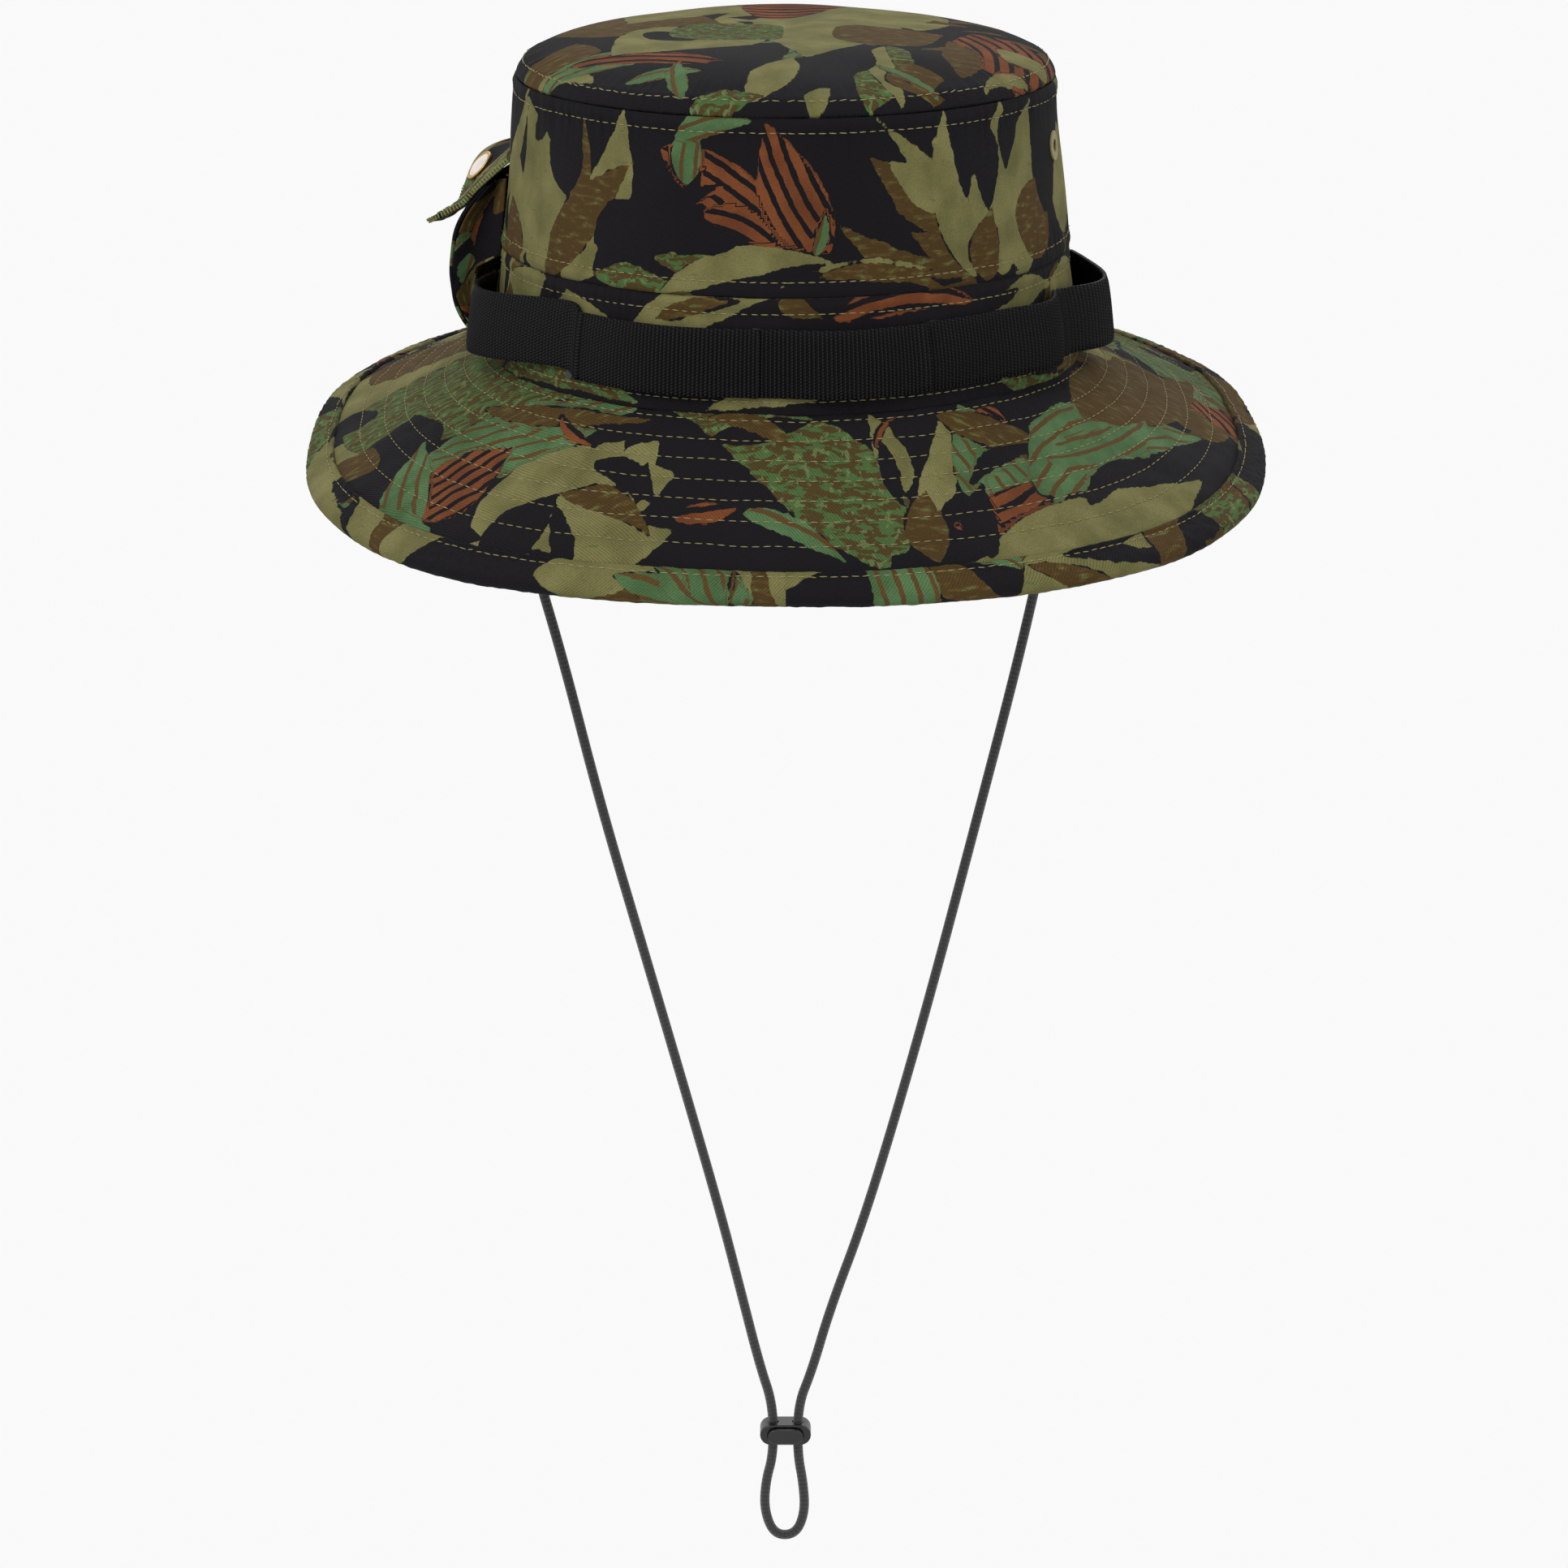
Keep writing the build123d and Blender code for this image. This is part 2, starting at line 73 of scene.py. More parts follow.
camera = bpy.data.cameras.new("camera")
camera.lens = 111.94
camera.clip_end = 20
camera_object = bpy.data.objects.new("camera", camera)
camera_object.location = (-0.0005, -1.4999, 0.308)
camera_object.rotation_euler = (pi / 2 - 0.292, 0, 0)
scene.collection.objects.link(camera_object)
scene.camera = camera_object

room = bpy.data.worlds.new("room")
room.use_nodes = True
room.node_tree.nodes["Background"].inputs["Color"].default_value = (1, 1, 1, 1)
room.node_tree.nodes["Background"].inputs["Strength"].default_value = 0.95
scene.world = room


def lamp(name, place, aim, size, watts):
    """A square soft light at place that faces aim."""
    data = bpy.data.lights.new(name, "AREA")
    data.size, data.energy = size, watts
    made = bpy.data.objects.new(name, data)
    made.location = place
    made.rotation_euler = (Vector(aim) - Vector(place)).to_track_quat("-Z", "Y").to_euler()
    scene.collection.objects.link(made)


lamp("key", (-0.9, -1.3, 1.3), (0, 0, 0), 0.9, 16)
lamp("fill", (1.3, -1.2, 0.5), (0, 0, 0), 1.2, 4)
lamp("back", (0.3, 1.4, 1.2), (0, 0, 0.05), 1.0, 10)


# ---- Chin cord ----------------------------------------------------------------------------
# One length of round black braided nylon, sewn to a tab on each side under the crown. It
# hangs in a V to the cord lock and turns back in a small loop below it.
class Wire:
    """An output socket. Arithmetic on wires adds Math nodes to their finish."""

    def __init__(self, finish, socket):
        self.finish, self.socket = finish, socket

    def maths(self, operation, *values):
        return self.finish.maths(operation, *values)

    def __add__(self, other):
        return self.maths("ADD", self, other)

    def __sub__(self, other):
        return self.maths("SUBTRACT", self, other)

    def __rsub__(self, other):
        return self.maths("SUBTRACT", other, self)

    def __mul__(self, other):
        return self.maths("MULTIPLY", self, other)

    def __truediv__(self, other):
        return self.maths("DIVIDE", self, other)

    __radd__, __rmul__ = __add__, __mul__


class Finish:
    """A material that is built node by node."""

    def __init__(self, name, roughness, specular=0.5, **fixed):
        self.material = bpy.data.materials.new(name)
        self.material.use_nodes = True
        self.tree = self.material.node_tree
        self.surface = self.tree.nodes["Principled BSDF"]
        self.surface.inputs["Roughness"].default_value = roughness
        self.surface.inputs["Specular IOR Level"].default_value = specular
        for socket, value in fixed.items():
            self.surface.inputs[socket.replace("_", " ").title()].default_value = value

    def node(self, kind, settings=None, sockets=None, out=0):
        """Adds a node: its settings first, then the values or wires of its sockets."""
        made = self.tree.nodes.new(kind)
        for key, value in (settings or {}).items():
            setattr(made, key, value)
        for key, value in (sockets or {}).items():
            if isinstance(value, Wire):
                self.tree.links.new(value.socket, made.inputs[key])
            else:
                made.inputs[key].default_value = value
        return Wire(self, made.outputs[out])

    def maths(self, operation, *values):
        return self.node("ShaderNodeMath", {"operation": operation}, dict(enumerate(values)))

    def feed(self, socket, wire):
        self.tree.links.new(wire.socket, self.surface.inputs[socket])

    def mix(self, share, first, second):
        """Colour first where share is 0, second where it is 1."""
        return self.node("ShaderNodeMix", {"data_type": "RGBA"}, {0: share, 6: first, 7: second}, 2)

    def uv(self, name):
        return self.node("ShaderNodeUVMap", {"uv_map": name})

    def split(self, vector):
        """The x and y of a vector."""
        parts = self.node("ShaderNodeSeparateXYZ", None, {0: vector})
        return parts, Wire(self, parts.socket.node.outputs[1])

    def grain(self, vector, scale, detail=2.0):
        """Smooth noise about 0.5, with features one over scale across."""
        sockets = {"Vector": vector, "Scale": scale, "Detail": detail}
        return self.node("ShaderNodeTexNoise", {"noise_dimensions": "2D"}, sockets)

    def speckle(self, scale, dark, light):
        """Two shades in fine noise over the object, and the noise for a bump."""
        place = self.node("ShaderNodeTexCoord", out=3)
        specks = self.node("ShaderNodeTexNoise", None, {"Vector": place, "Scale": scale})
        self.feed("Base Color", self.mix(specks, dark, light))
        return specks

    def bump(self, height, strength, distance):
        sockets = {"Height": height, "Strength": strength, "Distance": distance}
        self.feed("Normal", self.node("ShaderNodeBump", None, sockets))


def dye(red, green, blue):
    """A printed colour, from its 0 to 255 screen values."""
    return tuple((c / 255) ** 2.2 for c in (red, green, blue)) + (1,)


def mesh_piece(name, bm, finish):
    """A finished bmesh as a piece, with its material."""
    mesh = bpy.data.meshes.new(name + "_shown")
    bm.to_mesh(mesh)
    bm.free()
    mesh.materials.append(finish.material)
    mesh.polygons.foreach_set("use_smooth", [True] * len(mesh.polygons))
    piece = bpy.data.objects.new(name + "_shown", mesh)
    scene.collection.objects.link(piece)
    return piece


def shaped_grid(columns, rows, place, flat):
    """A bmesh grid bent to shape: place(u, v) is a point and flat(u, v) its place on the bolt."""
    bm = bmesh.new()
    bmesh.ops.create_grid(bm, x_segments=columns, y_segments=rows, size=0.5)
    on_bolt = bm.loops.layers.uv.new("bolt")
    for face in bm.faces:
        for loop in face.loops:
            loop[on_bolt].uv = flat(loop.vert.co.x + 0.5, loop.vert.co.y + 0.5)
    for vert in bm.verts:
        vert.co = place(vert.co.x + 0.5, vert.co.y + 0.5)
    bmesh.ops.remove_doubles(bm, verts=bm.verts, dist=1e-6)
    bmesh.ops.recalc_face_normals(bm, faces=bm.faces)
    return bm


def thicken(piece, thickness):
    """Gives a cloth piece its thickness, inwards from its face."""
    solid = piece.modifiers.new("thickness", "SOLIDIFY")
    solid.thickness, solid.offset = thickness, -1
    return piece


cord_width = 0.0032
tab_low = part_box("cord_tab_left")[0].z
lock_low, lock_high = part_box("lock_body")
lock_middle = (lock_low.z + lock_high.z) / 2
left_leg = [
    (-0.0885, 0, -0.007),
    (-0.0885, 0, -0.023),
    (-0.085, -0.001, -0.047),
    (-0.079, -0.002, -0.071),
    (-0.071, -0.0022, -0.1),
    (-0.0594, -0.0006, -0.15),
    (-0.0462, 0.0008, -0.199),
    (-0.0324, 0.0012, -0.25),
    (-0.0214, 0.0002, -0.291),
    (-0.0149, -0.0004, -0.318),
    (-0.0086, 0, -0.345),
    (-0.0041, 0, -0.3595),
    (-0.0041, 0, -0.369),
]
loop_route = [
    (-0.0041, 0, -0.369),
    (-0.0041, 0, -0.3775),
    (-0.0066, 0, -0.387),
    (-0.0072, 0, -0.3975),
    (-0.0039, 0, -0.4068),
    (0.0034, 0, -0.4068),
    (0.0066, 0, -0.3985),
    (0.0059, 0, -0.3875),
    (0.0041, 0, -0.3775),
    (0.0041, 0, -0.369),
]
right_leg = [
    (0.0885, 0, -0.007),
    (0.0885, 0, -0.023),
    (0.0856, -0.0008, -0.046),
    (0.0806, -0.0016, -0.07),
    (0.073, -0.0018, -0.106),
    (0.06, -0.0004, -0.161),
    (0.0478, 0.0008, -0.212),
    (0.0362, 0.0018, -0.257),
    (0.0254, 0.0014, -0.295),
    (0.0148, 0.0006, -0.325),
    (0.0088, 0, -0.347),
    (0.0041, 0, -0.3595),
    (0.0041, 0, -0.369),
]

braid = Finish("braided_cord", 0.62, sheen_weight=0.25)
cord_x, cord_y = braid.split(braid.uv("bolt"))
# sixteen strands cross in a diamond pattern round the cord
strand_turn, strand_pace = 50.265, 2100
crossing = braid.maths("SINE", cord_x * strand_turn + cord_y * strand_pace)
strands = crossing * braid.maths("SINE", cord_x * strand_turn - cord_y * strand_pace)
# The colour mix paints the raised strand crests lighter than the hollows between them: a painted
# highlight on the all-black braid.
braid.feed("Base Color", braid.mix(strands * 0.5 + 0.5, dye(10, 10, 11), dye(44, 43, 44)))
braid.bump(strands, 0.5, 0.0003)


def centreline(route):
    """Points along the smooth line that a route's control points give."""
    curve = bpy.data.curves.new("route", "CURVE")
    curve.dimensions = "3D"
    curve.resolution_u = 14
    spline = curve.splines.new("NURBS")
    spline.points.add(len(route) - 1)
    for point, place in zip(spline.points, route):
        point.co = (*place, 1)
    spline.order_u = 3
    spline.use_endpoint_u = True
    holder = bpy.data.objects.new("route", curve)
    mesh = bpy.data.meshes.new_from_object(holder)
    points = [v.co.copy() for v in mesh.vertices]
    bpy.data.objects.remove(holder)
    bpy.data.meshes.remove(mesh)
    return points


def distances(points):
    """Distances of the points from the first, along their line."""
    run = [0.0]
    for before, here in zip(points, points[1:]):
        run.append(run[-1] + (here - before).length)
    return run


def hang_cord(name, route):
    """A round cord along a route, as a closed tube."""
    points = centreline(route)
    run = distances(points)
    last = len(points) - 1

    def place(u, v):
        k = round(v * last)
        forward = (points[min(k + 1, last)] - points[max(k - 1, 0)]).normalized()
        side = Vector((0, 1, 0)).cross(forward).normalized()
        rim = side * cos(2 * pi * u) + forward.cross(side) * sin(2 * pi * u)
        return points[k] + rim * cord_width / 2

    bm = shaped_grid(16, last, place, lambda u, v: (u, run[round(v * last)]))
    bmesh.ops.holes_fill(bm, edges=[e for e in bm.edges if e.is_boundary])
    piece = mesh_piece(name, bm, braid)
    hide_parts(name)
    return piece, points


slide = next(j for j in frame["joints"] if j["name"] == "cord_lock_slide")
leg_drop = tab_low - lock_middle
leg_keep = (leg_drop - slide["range_m"][1]) / leg_drop
for cord_name, cord_route in (("chin_cord_left", left_leg), ("chin_cord_right", right_leg)):
    leg, leg_points = hang_cord(cord_name, cord_route)
    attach(leg, "hat")
    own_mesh(leg)
    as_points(leg_points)

cord_loop, loop_points = hang_cord("chin_cord_loop", loop_route)
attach(cord_loop, "cord_lock")
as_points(loop_points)

# ---- Cord lock ----------------------------------------------------------------------------
# A black moulded barrel that both runs of the cord pass through. A button sprung against
# the cord sticks out in front, and the steel spring sits behind it.
lock_plastic = Finish("lock_plastic", 0.36)
lock_grain = lock_plastic.speckle(900.0, dye(17, 17, 18), dye(30, 30, 31))
lock_plastic.bump(lock_grain, 0.15, 0.0001)

spring_steel = Finish("spring_steel", 0.3, metallic=1.0)
spring_steel.speckle(3000.0, dye(150, 150, 152), dye(205, 205, 205))


def coat(finish, *names):
    """Shows CAD nodes with a material."""
    for name in names:
        node = frame["nodes"][name]
        node.data.materials.clear()
        node.data.materials.append(finish.material)


coat(lock_plastic, "lock_body", "lock_button")
spring_low, spring_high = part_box("lock_spring")
coil_wire = 0.00035
coil_turns = 3


def coil_place(u, v):
    """A point round the wire, v of the way along the coil."""
    turn = 2 * pi * coil_turns * v
    reach = (spring_high.x - spring_low.x - coil_wire) / 2 + coil_wire / 2 * cos(2 * pi * u)
    y = spring_low.y + coil_wire / 2 + (spring_high.y - spring_low.y - coil_wire) * v
    y += coil_wire / 2 * sin(2 * pi * u)
    return Vector((reach * cos(turn), y, lock_middle + reach * sin(turn)))


coil_mesh = shaped_grid(8, 120, coil_place, lambda u, v: (u, v))
bmesh.ops.holes_fill(coil_mesh, edges=[e for e in coil_mesh.edges if e.is_boundary])
coil = mesh_piece("lock_spring", coil_mesh, spring_steel)
press = next(j for j in frame["joints"] if j["name"] == "lock_button_press")
spring_length = spring_high.y - spring_low.y
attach(coil, "cord_lock")
(spring_length - press["range_m"][1]) / spring_length
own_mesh(coil)
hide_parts("lock_spring")


# ---- Crown walls --------------------------------------------------------------------------
# The upper side of the crown: two curved panels of printed cotton with a plain weave, seamed
# to each other at the hat's sides. Puckers run along the seams above and below.
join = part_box("lower_band_front")
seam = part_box("crown_wall_front")
tip_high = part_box("crown_tip")[1]
seam_z, tip_z = seam[0].z, seam[1].z
crown_levels = (
    (0.0, join[1].x, -join[0].y),
    (seam_z, seam[1].x, -seam[0].y),
    (tip_z, tip_high.x, tip_high.y),
)
cloth = 0.0012
girth_radius = 0.094
top_row = 0.0043
seam_row = 0.0046


def crown_point(turn, z, off=0.0):
    """A point off the crown's face: turn runs from the front towards +X."""
    low, high = crown_levels[:2] if z <= seam_z else crown_levels[1:]
    share = (z - low[0]) / (high[0] - low[0])
    across = low[1] + (high[1] - low[1]) * share
    deep = low[2] + (high[2] - low[2]) * share
    x, y = across * sin(turn), -deep * cos(turn)
    out = off / hypot(x / across**2, y / deep**2)
    return Vector((x + out * x / across**2, y + out * y / deep**2, z))


def ripple(turn, z, size, amount, seed):
    """Soft random unevenness of cloth, with features of the given size."""
    spot = Vector((girth_radius * sin(turn), girth_radius * cos(turn), z)) / size
    return amount * noise.noise(spot + Vector((seed, 0, 0)))


def pucker(turn, gap, seed):
    """Short gathers beside a row of stitches that is gap away."""
    pull = noise.noise(Vector((55 * sin(turn), 55 * cos(turn), seed)))
    return 0.0005 * pull * exp(-((gap / 0.006) ** 2))


def wall_point(turn, z):
    off = ripple(turn, z, 0.03, 0.0012, 1) + pucker(turn, z - seam_z - 0.005, 2)
    off += pucker(turn, tip_z - 0.005 - z, 3)
    off += 0.0006 * exp(-(((tip_z - 0.0022 - z) / 0.0016) ** 2))
    off += 0.0005 * exp(-(((z - seam_z - 0.0022) / 0.0016) ** 2))
    return crown_point(turn, z, off)


inks = ("khaki", "brown", "green", "rust", "mottle")


def leaf_shape(spots, leaf):
    """How deep each spot is inside a leaf, and how far across it, in millimetres."""
    _, x0, y0, x1, y1, width = leaf
    base, way = np.array((x0, y0)), np.array((x1 - x0, y1 - y0))
    length = np.hypot(*way)
    way = way / length
    share = (spots - base) @ way / length
    inside = np.clip(share, 0, 1)
    bend = 0.1 * length * sin(x0 * 1.7 + y1 * 0.9)
    across = (spots - base) @ np.array((-way[1], way[0])) - bend * 4 * inside * (1 - inside)
    past = np.abs(share - inside) * length
    half = 0.53 * width * np.sin(pi * inside**0.75) ** 0.95
    return half - np.abs(across) - past, across


def print_leaves(bm, leaves):
    """Lays the leaves on a cloth mesh in order, as one depth per ink and one stripe measure."""
    bolt = bm.loops.layers.uv["bolt"]
    spots = np.array([v.link_loops[0][bolt].uv[:] for v in bm.verts]) * 1000
    depths = {ink: np.full(len(spots), -5.0) for ink in inks}
    stripe = spots[:, 0] * 0.7 + spots[:, 1] * 0.7
    for leaf in leaves:
        depth, across = leaf_shape(spots, leaf)
        for ink in inks:
            if ink == leaf[0]:
                depths[ink] = np.maximum(depths[ink], depth)
            else:
                depths[ink] = np.minimum(depths[ink], np.maximum(-depth, -5.0))
        stripe = np.where(depth > -0.6, across, stripe)
    for name, values in (*depths.items(), ("stripe", stripe)):
        layer = bm.verts.layers.float.new(name)
        for vert, value in zip(bm.verts, values):
            vert[layer] = value


def scatter(seed, low, high, count):
    """Fans of leaves at random places of a rectangle of cloth."""
    pick = np.random.default_rng(seed)
    leaves = []
    for _ in range(count):
        x, y = pick.uniform(low, high)
        facing = pick.uniform(0, 2 * pi)
        main = inks[pick.choice(5, p=(0.36, 0.24, 0.12, 0.12, 0.16))]
        for blade in range(pick.integers(4, 7)):
            angle = facing + (blade - 2.5) * 0.42 + pick.uniform(-0.1, 0.1)
            length = pick.uniform(34, 68)
            ink = main if pick.random() < 0.6 else ("brown", "black")[pick.integers(2)]
            x1, y1 = x + length * cos(angle), y + length * sin(angle)
            leaves.append((ink, x, y, x1, y1, pick.uniform(10, 19)))
    return leaves


def leaf_print(name, weave):
    """The print: leaves in khaki, brown, green and rust on near-black cotton."""
    made = Finish(name, 0.92, 0.15)
    flat = made.uv("bolt")
    brush = made.grain(flat, 420.0, 6.0)
    wobble = made.grain(flat, 80.0, 3.0)
    ragged = (brush - 0.5) * 1.3 + (wobble - 0.5) * 2.6
    field = {}
    for ink in (*inks, "stripe"):
        field[ink] = made.node("ShaderNodeAttribute", {"attribute_name": ink}, out=2)

    def inside(ink):
        """One inside the leaves of an ink, zero outside."""
        return made.node("ShaderNodeClamp", None, {0: (field[ink] + ragged) * 5.0 + 0.5})

    def soft(value, low, high):
        sockets = {0: value, 1: low, 2: high}
        return made.node("ShaderNodeMapRange", None, sockets)

    x, y = made.split(flat)
    along_x = made.node("ShaderNodeCombineXYZ", None, {0: x * 0.3, 1: y})
    speck = made.grain(along_x, 620.0, 5.0)
    black = dye(25, 23, 26)
    stripes = made.maths("SINE", (field["stripe"] + ragged * 0.5) * 1.35)

    tone = made.mix(soft(speck, 0.52, 0.62), dye(72, 56, 30), dye(84, 68, 38))
    tone = made.mix(soft(speck, 0.66, 0.7) * 0.7, tone, dye(86, 104, 60))
    ink = made.mix(inside("brown"), black, tone)

    tone = made.mix(soft(wobble, 0.3, 0.7), dye(96, 94, 58), dye(116, 112, 72))
    tone = made.mix(soft(speck, 0.68, 0.72) * 0.5, tone, dye(74, 92, 52))
    ink = made.mix(inside("khaki"), ink, tone)

    tone = made.mix(soft(speck, 0.5, 0.54), dye(72, 60, 34), dye(70, 94, 54))
    tone = made.mix(soft(brush, 0.6, 0.64) * 0.8, tone, dye(96, 112, 70))
    ink = made.mix(inside("mottle"), ink, tone)

    tone = made.mix(soft(wobble, 0.35, 0.65), dye(66, 92, 58), dye(80, 108, 72))
    tone = made.mix(soft(stripes, 0.55, 0.7), tone, dye(84, 64, 38))
    ink = made.mix(inside("green"), ink, tone)

    tone = made.mix(soft(wobble, 0.35, 0.65), dye(98, 56, 34), dye(116, 68, 40))
    tone = made.mix(soft(stripes, 0.3, 0.45), tone, black)
    ink = made.mix(inside("rust"), ink, tone)

    if weave == "plain":
        threads = made.maths("SINE", x * 9000) * made.maths("SINE", y * 9000)
    else:
        threads = made.maths("SINE", x * 6200 + y * 6200)
    fuzz = made.grain(flat, 1900.0, 2.0)
    fade = made.grain(flat, 26.0, 3.0)
    shade = threads * 0.16 + fuzz * 0.42 + fade * 0.3 + 0.56
    grey = made.node("ShaderNodeCombineColor", None, {0: shade, 1: shade, 2: shade})
    blend = {"data_type": "RGBA", "blend_type": "MULTIPLY"}
    made.feed("Base Color", made.node("ShaderNodeMix", blend, {0: 1.0, 6: ink, 7: grey}, 2))
    made.bump(threads * 0.5 + fuzz * 0.6, 0.6, 0.0004)
    return made


crown_cloth = leaf_print("crown_cotton", "plain")


# ink, base, tip and width of each leaf, in millimetres round and up the crown
wall_leaves = (
    ("khaki", -89, 31, -110, 84, 30), ("khaki", -80, 32, -57, 86, 20),
    ("brown", -85, 36, -75, 82, 9), ("brown", -89, 33, -53, 71, 15),
    ("khaki", -107, 32, -123, 72, 17), ("black", -82, 59, -82, 86, 18),
    ("black", -104, 72, -83, 86, 8), ("black", -67, 46, -45, 58, 12),
    ("mottle", -67, 38, -26, 32, 8), ("mottle", -44, 44, -2, 45, 7),
    ("rust", -42, 76, 6, 45, 16), ("rust", 14, 47, -7, 86, 19), ("rust", -27, 58, 0, 46, 8),
    ("black", -67, 38, -21, 66, 11), ("black", -36, 58, -27, 72, 4),
    ("green", -33, 66, -30, 86, 10), ("green", -37, 80, -11, 85, 8), ("green", 9, 46, 13, 59, 4),
    ("brown", 64, 34, 20, 86, 20), ("khaki", 63, 56, 30, 86, 13), ("khaki", 66, 36, 55, 86, 11),
    ("brown", 67, 34, 16, 56, 10), ("khaki", 70, 36, 51, 78, 13), ("black", 21, 84, 41, 72, 9),
    ("black", 24, 66, 49, 51, 5), ("khaki", 78, 35, 81, 86, 25), ("brown", 71, 34, 75, 56, 13),
    ("black", 68, 83, 73, 54, 13), ("khaki", 89, 33, 101, 85, 22), ("brown", 94, 38, 109, 61, 23),
    ("black", 90, 86, 83, 66, 11), ("khaki", 126, 40, 128, 74, 26), ("black", 107, 50, 122, 72, 16),
    ("khaki", -41, 34, 16, 44, 9), ("khaki", -2, 37, 49, 40, 3), ("black", -6, 40, 64, 36, 7),
    ("brown", 10, 40, 56, 32, 5), ("black", -14, 50, -49, 50, 4), ("brown", -118, 28, -121, 53, 19),
    ("khaki", 107, 28, 83, 36, 6),
)
wall_leaves = (
    *scatter(11, (-175, 20), (-135, 90), 3),
    *scatter(12, (140, 20), (480, 90), 34),
    *wall_leaves,
)


def wall_panel(name, first, last, low, high, point, rows, leaves):
    """One side panel of the crown, from one side seam to the other."""

    def place(u, v):
        return point(first + (last - first) * u, low + (high - low) * v)

    def flat(u, v):
        return (girth_radius * (first + (last - first) * u), low + (high - low) * v)

    bm = shaped_grid(300, rows, place, flat)
    print_leaves(bm, leaves)
    piece = thicken(mesh_piece(name, bm, crown_cloth), cloth)
    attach(piece, "hat")
    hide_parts(name)


wall_panel("crown_wall_front", -pi / 2, pi / 2, seam_z, tip_z, wall_point, 60, wall_leaves)
wall_panel("crown_wall_rear", pi / 2, 3 * pi / 2, seam_z, tip_z, wall_point, 60, wall_leaves)


# ---- Lower side band ----------------------------------------------------------------------
# The lower side of the crown: a front and a rear panel of the same cotton. Most of it lies
# behind the webbing; the brim is sewn to its lower edge.
def band_point(turn, z):
    off = ripple(turn, z, 0.03, 0.001, 6) + pucker(turn, seam_z - 0.005 - z, 4)
    off += pucker(turn, z - 0.003, 5)
    off += 0.0006 * exp(-(((seam_z - 0.0022 - z) / 0.0016) ** 2))
    return crown_point(turn, z, off)


band_leaves = (
    ("khaki", -118, 28, -57, 24, 15), ("black", -94, 22, -75, 33, 7),
    ("khaki", -52, 21, -2, 36, 13), ("brown", -43, 26, -14, 33, 5), ("black", -6, 33, 18, 24, 8),
    ("rust", 15, 28, 65, 29, 10), ("khaki", 71, 22, 107, 28, 10), ("black", 64, 29, 85, 30, 5),
    ("khaki", -25, 1, 56, 6, 6), ("mottle", -114, 1, -42, 0, 9), ("brown", -2, 33, 12, 28, 6),
    ("khaki", 102, 14, 144, 25, 20), ("mottle", 72, 5, 116, 1, 5),
)
band_leaves = (
    *scatter(21, (-175, -10), (-110, 40), 4),
    *scatter(22, (120, -10), (480, 40), 30),
    *band_leaves,
)
wall_panel("lower_band_front", -pi / 2, pi / 2, 0.0, seam_z, band_point, 40, band_leaves)
wall_panel("lower_band_rear", pi / 2, 3 * pi / 2, 0.0, seam_z, band_point, 40, band_leaves)


# ---- Crown tip ----------------------------------------------------------------------------
# The oval top panel. It domes up softly from the seam that joins it to the side panels.
def tip_point(turn, size):
    rise = (tip_high.z - tip_z) * (1 - min(size, 1) ** 5) ** 0.588
    x, y = tip_high.x * size * sin(turn), -tip_high.y * size * cos(turn)
    fold = noise.noise(Vector((x, y, 0)) / 0.035) * 0.0016 * (1 - size**4)
    ridge = 0.0006 * exp(-(((1 - size) * 0.087 / 0.0045 - 0.6) ** 2) * 4)
    return Vector((x, y, tip_z + rise + fold + ridge + pucker(turn, (1 - size) * 0.087 - 0.004, 8)))


def tip_place(u, v):
    if v < 1e-6:
        return tip_point(2 * pi * u, 0.99) - Vector((0, 0, 0.003))
    return tip_point(2 * pi * u, 1 - v**1.6)


def tip_flat(u, v):
    size = 1 - v**1.6
    return (tip_high.x * size * sin(2 * pi * u), -tip_high.y * size * cos(2 * pi * u))


tip_leaves = (
    ("brown", -74, -42, -64, -15, 23), ("khaki", -74, -41, -57, -61, 7),
    ("green", -73, -45, -24, -55, 16), ("rust", -65, -42, -13, -71, 12),
    ("green", -47, -68, -24, -70, 7), ("brown", -58, -9, -30, 37, 55),
    ("khaki", -13, 0, -52, -42, 45), ("khaki", -31, 80, -49, 12, 34),
    ("black", -41, -19, -25, -6, 20), ("khaki", 14, 41, 6, -54, 42), ("khaki", -10, 22, 22, 16, 50),
    ("brown", 16, -22, 48, -6, 38), ("khaki", 18, 7, 48, 73, 43), ("black", -13, -63, -24, -77, 15),
    ("khaki", -10, -89, 2, -54, 12), ("green", -30, -84, -32, -59, 6),
    ("mottle", -28, -86, -6, -87, 7), ("khaki", 7, -92, 13, -82, 7),
    ("mottle", 24, -88, 31, -32, 16), ("khaki", 34, -84, 30, -34, 8),
    ("brown", 43, -78, 36, -58, 18), ("green", 45, -76, 25, -61, 4), ("rust", 68, -52, 57, 2, 39),
    ("black", 21, -69, 25, -44, 11), ("khaki", 78, -31, 64, -21, 16),
    ("brown", 52, -61, 49, -15, 11), ("black", 54, -69, 43, -75, 7), ("khaki", 73, -43, 59, -63, 5),
    ("mottle", -30, 9, -2, -20, 36), ("rust", -14, 49, 19, 46, 39),
)
tip_mesh = shaped_grid(480, 80, tip_place, tip_flat)
print_leaves(tip_mesh, (*scatter(31, (-90, -10), (90, 95), 18), *tip_leaves))
tip = mesh_piece("crown_tip", tip_mesh, crown_cloth)
thicken(tip, cloth)
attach(tip, "hat")
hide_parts("crown_tip")


